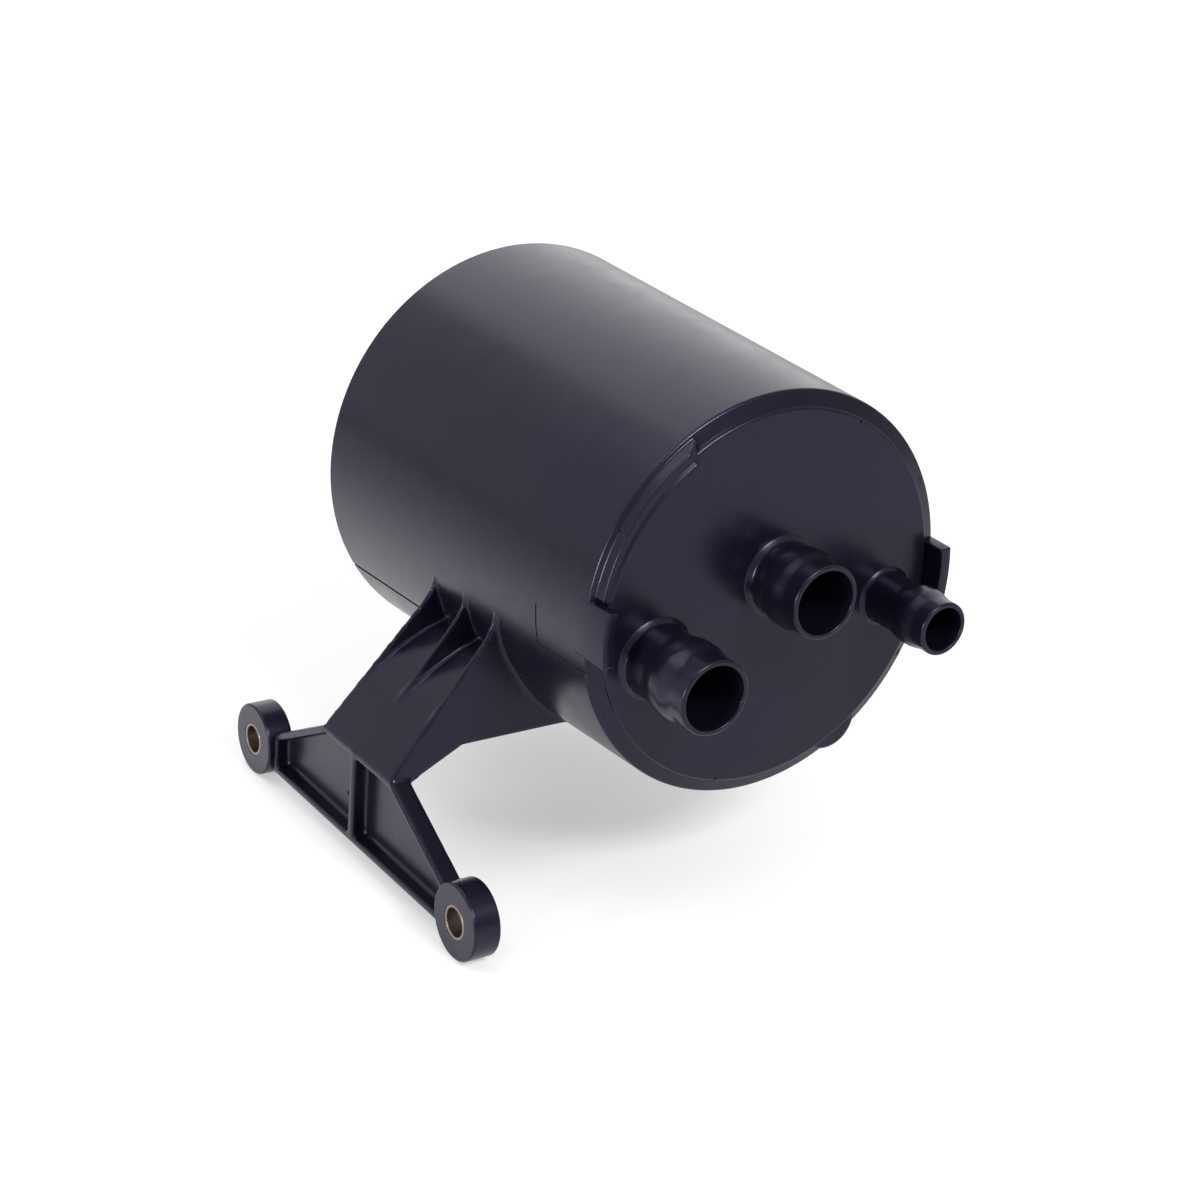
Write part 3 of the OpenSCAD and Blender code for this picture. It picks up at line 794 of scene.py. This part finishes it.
def rim_boss(sizes):
    """Rounded boss low on the rim."""
    soft = 3 * sizes.edge_round
    outline = rounded_outline([
        (0, sizes.rim_depth / 2, 0),
        (sizes.boss_radius, sizes.rim_depth / 2, soft),
        (sizes.boss_radius, sizes.boss_length, soft),
        (0, sizes.boss_length, 0),
    ], closed=False)
    reach = sizes.front_radius + sizes.boss_proud - sizes.boss_radius
    centre = (AXIS_X + reach, 0, AXIS_Z)
    boss = spun(outline, beside(centre, sizes.disc_y), centre, ALONG_AXIS, BOSS_FACETS, closed=False)
    return turned_about_axis(boss, sizes.boss_angle)


def inner_walls(sizes):
    """Wall between the beds and the bars that carry the grids."""
    front = sizes.disc_y + sizes.front_wall
    rear = COVER_HIGH.y - sizes.cover_seat - sizes.turn_gap
    x = AXIS_X + sizes.divider_x
    overlap = sizes.wall / 2
    front_reach, rear_reach = (
        math.sqrt(sizes.inner(y) ** 2 - sizes.divider_x ** 2) + overlap for y in (front, rear)
    )
    corners = ((front, -front_reach), (rear, -rear_reach), (rear, rear_reach), (front, front_reach))
    half = sizes.inner_wall / 2
    yield prism(
        [Vector(corner) for corner in corners],
        lambda point: Vector((x - half, point.x, AXIS_Z + point.y)),
        lambda point: Vector((x + half, point.x, AXIS_Z + point.y)),
    )
    span = math.sqrt(sizes.inner(front) ** 2 - sizes.stand_z ** 2) + overlap
    for side in (-1, 1):
        z = AXIS_Z + side * sizes.stand_z
        yield block(
            Vector((AXIS_X - span, front - sizes.front_wall / 2, z - half)),
            Vector((AXIS_X + span, front + sizes.stand_off, z + half)),
        )


def wall_sector(radii, ends, steps, start, sweep):
    """A piece around the axis, between two radii at each of two places along it, over an angle."""
    outline = [Vector((first, y)) for (first, _), y in zip(radii, ends)]
    outline += [Vector((second, y)) for (_, second), y in zip(reversed(radii), reversed(ends))]
    return turned_about_axis(
        spun(outline, beside(AXIS_POINT), AXIS_POINT, SPIN_UP, steps, sweep=sweep), start,
    )


def wall_cutter(sizes, ends, depth, start, sweep):
    """A cutter evenly deep in the drafted wall, over an angle and between two places along it."""
    above = sizes.rear_radius + CLEAR
    radii = [(sizes.outer(y) - depth, above) for y in ends]
    return wall_sector(radii, ends, CUTTER_STEPS, start, sweep)


def shell_cutters(sizes, spigots):
    """What is cut out of the wall: bores, notches, the shallow flat and the parting line."""
    for spigot in spigot_list(spigots):
        yield rod(
            Vector((spigot["x"], sizes.disc_y - CLEAR, spigot["z"])),
            Vector((spigot["x"], sizes.disc_y + 2 * sizes.front_wall, spigot["z"])),
            spigot["bore"], spigots.facets,
        )
    half = sizes.notch / 2
    for turn in (sizes.notch_first, sizes.notch_second):
        middle = Vector((AXIS_X + sizes.disc_radius - half, sizes.disc_y, AXIS_Z))
        reach = Vector((half, sizes.notch_depth, half))
        yield turned_about_axis(block(middle - reach, middle + reach), turn)
    flat = (sizes.disc_y + sizes.rim_depth, sizes.disc_y + sizes.flat_length)
    yield wall_cutter(sizes, flat, sizes.flat_depth, sizes.flat_from, sizes.flat_turn)
    line = (sizes.line_from, BODY_HIGH.y + CLEAR)
    turn = sizes.line_width / sizes.rear_radius
    yield wall_cutter(sizes, line, sizes.line_depth, sizes.line_angle - turn / 2, turn)


def spigot_solid(spigot, body, sizes):
    """One barbed spigot with its bore, sunk a little into the front wall."""
    long = body.disc_y - spigot["tip_y"]
    barb_end = long - spigot["nose"] - sizes.tip_taper
    barb_start = barb_end - sizes.barb_land
    wall = spigot["tip"] - spigot["bore"]
    foot = spigot["tube"] + spigot["root"]
    outline = rounded_outline([
        (spigot["bore"], -sizes.sink, 0),
        (spigot["bore"], long, wall / 4),
        (spigot["tip"], long, sizes.tip_round),
        (spigot["tip"], long - spigot["nose"], sizes.barb_round),
        (spigot["barb"], barb_end, sizes.barb_round),
        (spigot["barb"], barb_start, sizes.barb_round),
        (spigot["tube"], barb_start - sizes.barb_slope, sizes.barb_round),
        (spigot["tube"], spigot["root"], sizes.root_round),
        (foot, -sizes.dip, sizes.root_round),
        (foot + sizes.root_round, -sizes.dip, 0),
        (foot + sizes.root_round, -sizes.sink, 0),
    ])

    def place(point):
        return Vector((spigot["x"] + point.x, body.disc_y - point.y, spigot["z"]))

    return spun(outline, place, (spigot["x"], 0, spigot["z"]), ALONG_AXIS, sizes.facets)


def bowed(start, control, end, steps=10):
    """Points on a curve that leaves start towards control and reaches end from there."""
    for step in range(steps + 1):
        run = step / steps
        yield start.lerp(control, run).lerp(control.lerp(end, run), run)


class ArmShape:
    """Outline points of the bracket's arm in [x, z]."""

    def __init__(self, body, sizes):
        self.body = body
        self.sizes = sizes
        self.wall = body.outer(0)
        self.foot = Vector((sizes.bar_back, sizes.bar_top))
        self.tip = self.on_wall(sizes.arm_angle)
        self.bend = self.tip - Vector((sizes.bend_in, sizes.bend_drop))
        self.along = (self.bend - self.foot).normalized()
        self.pocket_angle = sizes.arm_angle + sizes.pocket_turn

    def on_wall(self, turn, lift=0.0):
        """A point on the side wall, or a little out of it."""
        reach = self.wall + lift
        return Vector((AXIS_X + reach * math.cos(turn), AXIS_Z + reach * math.sin(turn)))

    def on_face(self, z):
        """A point on the straight part of the outer face."""
        run = (z - self.foot.y) / (self.bend.y - self.foot.y)
        return self.foot.lerp(self.bend, run)

    def foot_bend(self, steps=8):
        """The rounded bend from the bar's front to the arm's face."""
        down = Vector((0, -1))
        half = down.angle(self.along) / 2
        centre = self.foot + (down + self.along).normalized() * (self.sizes.foot_round / math.sin(half))
        reach = self.sizes.foot_round / math.tan(half)
        start = self.foot + down * reach - centre
        end = self.foot + self.along * reach - centre
        for step in range(steps + 1):
            yield centre + start.slerp(end, step / steps).normalized() * self.sizes.foot_round

    def curve(self, y):
        """The curve that takes the outer face up to the drafted wall, at a place along the bar."""
        control = self.bend + self.along * self.sizes.bend_lead
        return bowed(self.bend, control, self.on_wall(self.sizes.arm_angle, self.body.outer(y) - self.wall))

    def floor(self):
        """The pockets' floor, which leaves the outer face and curves in to the wall."""
        low = self.sizes.pocket_low
        return bowed(
            self.on_face(low), self.on_face(low + self.sizes.pocket_lead), self.on_wall(self.pocket_angle),
        )

    def rib_thickness(self, point):
        """Thickness of a rib, which grows from the outer face inwards."""
        depth = (point - self.foot).dot(Vector((self.along.y, -self.along.x)))
        return self.sizes.rib_edge + 2 * depth * math.tan(self.sizes.rib_draft)

    def inside(self, start, end, steps=8):
        """Points inside the wall, from one angle to another."""
        for step in range(steps + 1):
            turn = start + (end - start) * step / steps
            yield self.on_wall(turn, -self.sizes.root_depth)

    def under_angle(self):
        """Angle inside the wall at the height of the arm's underside."""
        return TURN / 2 + math.asin((AXIS_Z - self.sizes.arm_under) / (self.wall - self.sizes.root_depth))

    def edge(self, side, z):
        """Place of the arm's edge along the bar at a height, on side -1 or 1."""
        sizes = self.sizes
        run = (z - sizes.bar_top) / (self.tip.y - sizes.bar_top)
        foot = side * sizes.arm_low / 2
        return foot + (sizes.arm_y + side * sizes.arm_high / 2 - foot) * run


def arm_solids(shape):
    """The arm's core under the pockets and its three ribs."""
    sizes = shape.sizes
    middle = sizes.arm_y
    thick = shape.rib_thickness

    def near(point):
        return shape.edge(-1, point.y)

    def far(point):
        return shape.edge(1, point.y)

    def side(place):
        return lambda point: Vector((point.x, place(point), point.y))

    core = [Vector((sizes.bar_back, sizes.bar_top - sizes.web_edge)), *shape.foot_bend(), *shape.floor()]
    core += shape.inside(shape.pocket_angle, shape.under_angle())
    core += [
        Vector((sizes.lug_thickness + sizes.arm_rise, sizes.arm_under)),
        Vector((sizes.lug_thickness, sizes.bar_top - sizes.web_edge)),
    ]
    yield prism(core, side(near), side(far))
    overlap = 3 * sizes.rib_edge
    ribs = (
        (near(shape.tip), near, lambda point: near(point) + thick(point)),
        (middle, lambda point: middle - thick(point) / 2, lambda point: middle + thick(point) / 2),
        (far(shape.tip), lambda point: far(point) - thick(point), far),
    )
    for y, low, high in ribs:
        outline = [shape.on_face(sizes.pocket_low - overlap), *shape.curve(y)]
        outline += shape.inside(sizes.arm_angle, shape.pocket_angle + overlap / shape.wall)
        yield prism(outline, side(low), side(high))


def wall_patch(shape):
    """A skin just under the side wall, so that the arm blends into the wall."""
    body, sizes = shape.body, shape.sizes
    reach = sizes.arm_low / 2 + sizes.patch_margin
    ends = (sizes.arm_y - reach, sizes.arm_y + reach)
    margin = sizes.patch_margin / shape.wall
    start = sizes.arm_angle - margin
    end = shape.under_angle() + margin
    skin = [body.outer(y) - sizes.patch_sink for y in ends]
    radii = [(radius, radius - sizes.root_depth) for radius in skin]
    return wall_sector(radii, ends, PATCH_STEPS, start, end - start)


def bar_solids(sizes):
    """Web, flanges and ribs of the bar between the lugs."""
    end = BOLT_SPACING / 2 - sizes.lug_radius + sizes.lug_bite
    back = sizes.lug_thickness
    shoulders = {side: side * sizes.arm_low / 2 for side in (-1, 1)}

    def plate(points, front):
        return prism(
            [Vector(point) for point in points],
            lambda point: Vector((front, point.x, point.y)),
            lambda point: Vector((back, point.x, point.y)),
        )

    yield plate([
        (shoulders[-1], sizes.bar_top), (shoulders[1], sizes.bar_top), (end, sizes.bar_end),
        (end, -sizes.bar_low), (-end, -sizes.bar_low), (-end, sizes.bar_end),
    ], back - sizes.web)
    low = sizes.flange - sizes.bar_low
    yield plate([(-end, -sizes.bar_low), (end, -sizes.bar_low), (end, low), (-end, low)], sizes.bar_back)
    for side in (-1, 1):
        run = Vector((side * end - shoulders[side], sizes.bar_end - sizes.bar_top))
        drop = sizes.flange * run.length / abs(run.x)
        yield plate([
            (shoulders[side], sizes.bar_top), (side * end, sizes.bar_end),
            (side * end, sizes.bar_end - drop), (shoulders[side], sizes.bar_top - drop),
        ], sizes.bar_back)
        recess = BOLT_SPACING / 2 - sizes.lug_radius - sizes.lug_wall
        top = sizes.bar_end + (recess - end) * side * run.y / run.x
        yield plate([
            (side * recess, -sizes.bar_low), (side * end, -sizes.bar_low), (side * end, sizes.bar_end),
            (side * recess, top),
        ], sizes.bar_back)
    half = sizes.bar_rib / 2
    yield plate([
        (sizes.bar_rib_y - half, -sizes.bar_low), (sizes.bar_rib_y + half, -sizes.bar_low),
        (sizes.bar_rib_y + half, sizes.bar_top), (sizes.bar_rib_y - half, sizes.bar_top),
    ], sizes.bar_back)


def ring_along_x(y, inner, outer, long, inner_round, outer_round, facets):
    """A round ring on a bolt's line, with its front on the mounting face."""
    outline = rounded_outline([
        (inner, 0, inner_round),
        (outer, 0, outer_round),
        (outer, long, outer_round),
        (inner, long, inner_round),
    ])

    def place(point):
        return Vector((point.y, y + point.x, 0))

    return spun(outline, place, (0, y, 0), (1, 0, 0), facets)


def blended(piece, voxel, passes):
    """Melts overlapping solids into one skin and softens its edges."""
    modifier = piece.modifiers.new("Blend", "REMESH")
    modifier.mode = "VOXEL"
    modifier.voxel_size = voxel
    settle(piece)
    bm = bmesh.new()
    bm.from_mesh(piece.data)
    for _ in range(passes):
        bmesh.ops.smooth_vert(
            bm, verts=bm.verts, factor=SMOOTHING, use_axis_x=True, use_axis_y=True, use_axis_z=True,
        )
    bm.to_mesh(piece.data)
    bm.free()


def cover_outline(sizes, front):
    """Half section of the cover, from the axis around its edge to the dish."""
    rear = COVER_HIGH.y
    radius = COVER_HIGH.x - AXIS_X
    dish = rear - sizes.dish_depth
    return rounded_outline([
        (0, front, 0),
        (radius, front, 0),
        (radius, rear, sizes.edge_round),
        (sizes.dish_radius, rear, sizes.edge_round),
        (sizes.dish_radius - 2 * sizes.dish_depth, dish, sizes.edge_round),
        (0, dish, 0),
    ], closed=False)


def spring_guides(sizes, front, sink):
    """A round guide inside each spring, sunk into the cover."""
    for node in ("spring_small", "spring_large"):
        low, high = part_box(node)
        x, z = (low.x + high.x) / 2, (low.z + high.z) / 2
        radius = (high.x - low.x) / 2 - sizes.wire - sizes.guide_play
        start = Vector((x, front - sizes.guide_height, z))
        yield rod(start, Vector((x, front + sink, z)), radius, GUIDE_FACETS)


class CANISTER_OT_shell(bpy.types.Operator):
    """Drafted body with its front disc, rim strip, tabs, boss and inner walls"""

    bl_idname = "canister.shell"
    bl_label = "Body shell"

    def execute(self, context):
        scene = context.scene
        sizes = scene.canister_body
        place = beside(AXIS_POINT, sizes.disc_y)
        wall = spun(shell_outline(sizes), place, AXIS_POINT, ALONG_AXIS, sizes.facets, closed=False)
        piece = joined("body_shell", [wall])
        cut(piece, shell_cutters(sizes, scene.canister_spigots))
        absorb(piece, [rim_strip(sizes), *side_tabs(sizes), rim_boss(sizes), *inner_walls(sizes)])
        finish_piece(piece, moulded_plastic(scene.canister_finishes), "body_plastic", "canister_body")
        return {"FINISHED"}


class CANISTER_OT_spigots(bpy.types.Operator):
    """Three barbed hose spigots on the front disc"""

    bl_idname = "canister.spigots"
    bl_label = "Hose spigots"

    def execute(self, context):
        scene = context.scene
        sizes = scene.canister_spigots
        solids = [spigot_solid(spigot, scene.canister_body, sizes) for spigot in spigot_list(sizes)]
        piece = joined("hose_spigots", solids)
        finish_piece(piece, moulded_plastic(scene.canister_finishes), "body_plastic", "canister_body")
        return {"FINISHED"}


class CANISTER_OT_bracket(bpy.types.Operator):
    """Bracket with its arm, bar and two lugs"""

    bl_idname = "canister.bracket"
    bl_label = "Bracket"

    def execute(self, context):
        scene = context.scene
        sizes = scene.canister_bracket
        shape = ArmShape(scene.canister_body, sizes)
        piece = joined("bracket_moulding", [*arm_solids(shape), wall_patch(shape), *bar_solids(sizes)])
        blended(piece, sizes.voxel, sizes.soften)
        web = Vector((sizes.lug_thickness - sizes.web, sizes.mark_y, sizes.mark_z))
        depth = Vector((sizes.mark_radius, 0, 0))
        cut(piece, [rod(web - depth, web + depth, sizes.mark_radius, PIT_FACETS)])
        absorb(piece, [
            ring_along_x(
                side * BOLT_SPACING / 2, sizes.bush_radius, sizes.lug_radius, sizes.lug_thickness,
                sizes.lug_round / 3, sizes.lug_round, LUG_FACETS,
            )
            for side in (-1, 1)
        ])
        finish_piece(piece, moulded_plastic(scene.canister_finishes), "body_plastic", "canister_body")
        return {"FINISHED"}


class CANISTER_OT_bushes(bpy.types.Operator):
    """Turned metal bushes in the lugs"""

    bl_idname = "canister.bushes"
    bl_label = "Bushes"

    def execute(self, context):
        scene = context.scene
        sizes = scene.canister_bracket
        metal = turned_metal(scene.canister_finishes)
        for side, node in ((-1, "bush_front"), (1, "bush_rear")):
            ring = ring_along_x(
                side * BOLT_SPACING / 2, sizes.bush_bore, sizes.bush_radius, sizes.lug_thickness,
                sizes.bush_round, sizes.bush_round, BUSH_FACETS,
            )
            finish_piece(joined(node + "_turned", [ring]), metal, "bush_metal", node)
        return {"FINISHED"}


class CANISTER_OT_rear_cover(bpy.types.Operator):
    """Welded rear cover with its spring guides"""

    bl_idname = "canister.rear_cover"
    bl_label = "Rear cover"

    def execute(self, context):
        scene = context.scene
        sizes = scene.canister_cover
        thickness = scene.canister_body.cover_seat
        front = COVER_HIGH.y - thickness
        outline = cover_outline(sizes, front)
        plate = spun(outline, beside(AXIS_POINT), AXIS_POINT, ALONG_AXIS, COVER_FACETS, closed=False)
        piece = joined("rear_cover_welded", [plate, *spring_guides(sizes, front, thickness / 2)])
        finish_piece(piece, moulded_plastic(scene.canister_finishes), "body_plastic", "rear_cover")
        return {"FINISHED"}


class CANISTER_OT_inner_pieces(bpy.types.Operator):
    """Finishes of the grids, felt pads, carbon beds, plates and springs"""

    bl_idname = "canister.inner_pieces"
    bl_label = "Inner pieces"

    def execute(self, context):
        finishes = context.scene.canister_finishes
        makers = {
            "front_grid": grid_plastic, "pressure_plate": grid_plastic, "front_fleece": needled_felt,
            "rear_fleece": needled_felt, "carbon_bed": carbon_pellets, "spring": spring_wire,
        }
        made = {maker: maker(finishes) for maker in dict.fromkeys(makers.values())}
        for family, maker in makers.items():
            for bed in ("small", "large"):
                for slot in frame["nodes"][f"{family}_{bed}"].material_slots:
                    slot.material = made[maker]
        return {"FINISHED"}


def seen_rays(board, stage):
    """A factor for what the camera, glass or a reflection sees; reflections see it around one place."""
    path = board.add("ShaderNodeLightPath").outputs
    ends = {0: object_space(board), 1: stage.glow_place}
    away = board.add("ShaderNodeVectorMath", ends, operation="DISTANCE").outputs["Value"]
    near = board.remap(away, stage.glow_fade, stage.glow_full)
    mirrored = board.combine("MULTIPLY", path["Is Glossy Ray"], near)
    total = board.combine("ADD", path["Is Camera Ray"], mirrored)
    return board.combine("ADD", total, path["Is Transmission Ray"], use_clamp=True)


def floor_material(stage):
    """Pale floor that keeps the shadow and shows white where none falls."""
    material = bpy.data.materials.new("pale_floor")
    board = cleared_board(material)
    strength = board.combine("MULTIPLY", seen_rays(board, stage), stage.floor_glow)
    diffuse = board.add("ShaderNodeBsdfDiffuse", {"Color": (*stage.floor_colour, 1)})
    glow = board.add("ShaderNodeEmission", {"Strength": strength})
    both = board.add("ShaderNodeAddShader", {0: diffuse.outputs["BSDF"], 1: glow.outputs["Emission"]})
    board.add("ShaderNodeOutputMaterial", {"Surface": both.outputs["Shader"]})
    return material


def studio_world(stage):
    """Pale surroundings, brighter behind the object than in front of it."""
    world = bpy.data.worlds.new("studio_surroundings")
    board = cleared_board(world)
    direction = board.add("ShaderNodeTexCoord").outputs["Generated"]
    parts = board.add("ShaderNodeSeparateXYZ", {"Vector": direction})
    reach = stage.light_turn
    strength = board.remap(parts.outputs["Y"], -reach, reach, stage.front_light, stage.back_light)
    background = board.add("ShaderNodeBackground", {"Color": (1, 1, 1, 1), "Strength": strength})
    board.add("ShaderNodeOutputWorld", {"Surface": background.outputs["Background"]})
    return world


def soft_lamp(name, place, target, size, watts):
    """A square soft lamp that faces a point."""
    lamp = bpy.data.lights.new(name, "AREA")
    lamp.size = size
    lamp.energy = watts
    holder = bpy.data.objects.new(name, lamp)
    holder.location = place
    holder.rotation_euler = (target - place).to_track_quat("-Z", "Y").to_euler()
    bpy.context.scene.collection.objects.link(holder)


def photo_camera(stage):
    """Camera at the photograph's angle."""
    turn, rise, roll = stage.azimuth, stage.elevation, stage.roll
    back = Vector((math.sin(turn) * math.cos(rise), -math.cos(turn) * math.cos(rise), math.sin(rise)))
    level = Vector((math.cos(turn), math.sin(turn), 0))
    upright = back.cross(level)
    right = level * math.cos(roll) + upright * math.sin(roll)
    up = back.cross(right)
    axes = Matrix((right, up, back)).transposed().to_4x4()
    data = bpy.data.cameras.new("photo_camera")
    data.sensor_width = SENSOR_WIDTH
    data.lens = stage.lens
    data.clip_start = NEAREST_SEEN
    camera = bpy.data.objects.new("photo_camera", data)
    camera.matrix_world = Matrix.Translation(Vector(stage.target) + back * stage.distance) @ axes
    bpy.context.scene.collection.objects.link(camera)
    bpy.context.scene.camera = camera


class CANISTER_OT_stage(bpy.types.Operator):
    """Pale floor, soft lamps, pale surroundings and the camera"""

    bl_idname = "canister.stage"
    bl_label = "Stage"

    def execute(self, context):
        scene = context.scene
        stage = scene.canister_stage
        scene.view_settings.view_transform = "Standard"
        bm = bmesh.new()
        bmesh.ops.create_grid(bm, x_segments=1, y_segments=1, size=stage.floor_size / 2)
        bmesh.ops.translate(bm, verts=bm.verts, vec=(0, 0, FLOOR_Z))
        floor = joined("pale_floor", [bm])
        floor.data.materials.append(floor_material(stage))
        scene.world = studio_world(stage)
        middle = (Vector(CAD_BOX[0]) + Vector(CAD_BOX[1])) / 2
        for lamp in ("front", "side", "over", "top"):
            place, size, watts = (getattr(stage, f"{lamp}_{part}") for part in ("place", "size", "power"))
            soft_lamp(lamp + "_lamp", middle + Vector(place), middle, size, watts)
        photo_camera(stage)
        return {"FINISHED"}


class CANISTER_PT_panel(bpy.types.Panel):
    """Sizes, finishes and pieces of the canister"""

    bl_idname = "CANISTER_PT_panel"
    bl_label = "Charcoal canister"
    bl_space_type = "VIEW_3D"
    bl_region_type = "UI"
    bl_category = "Canister"

    def draw(self, context):
        layout = self.layout
        for title, group in GROUPS.items():
            box = layout.box()
            box.label(text=title.replace("_", " ").capitalize())
            settings = getattr(context.scene, "canister_" + title)
            for name in group.__annotations__:
                box.prop(settings, name)
        for operator in OPERATORS:
            layout.operator(operator.bl_idname)


GROUPS = {
    "body": BodySizes, "spigots": SpigotSizes, "bracket": BracketSizes, "cover": CoverSizes,
    "finishes": Finishes, "stage": StageSettings,
}
OPERATORS = (
    CANISTER_OT_stage, CANISTER_OT_shell, CANISTER_OT_spigots, CANISTER_OT_bracket, CANISTER_OT_bushes,
    CANISTER_OT_rear_cover, CANISTER_OT_inner_pieces,
)


def register():
    """Registers the settings, the operators and the panel."""
    for group in GROUPS.values():
        bpy.utils.register_class(group)
    for name, group in GROUPS.items():
        setattr(bpy.types.Scene, "canister_" + name, PointerProperty(type=group))
    for operator in OPERATORS:
        bpy.utils.register_class(operator)
    bpy.utils.register_class(CANISTER_PT_panel)


def unregister():
    """Takes away what register has added."""
    bpy.utils.unregister_class(CANISTER_PT_panel)
    for operator in reversed(OPERATORS):
        bpy.utils.unregister_class(operator)
    for name, group in reversed(list(GROUPS.items())):
        delattr(bpy.types.Scene, "canister_" + name)
        bpy.utils.unregister_class(group)


def main():
    """Builds the stage and the pieces in order."""
    register()
    bpy.ops.canister.stage()
    bpy.ops.canister.shell()
    bpy.ops.canister.spigots()
    bpy.ops.canister.bracket()
    bpy.ops.canister.bushes()
    bpy.ops.canister.rear_cover()
    bpy.ops.canister.inner_pieces()


if __name__ == "__main__":
    main()
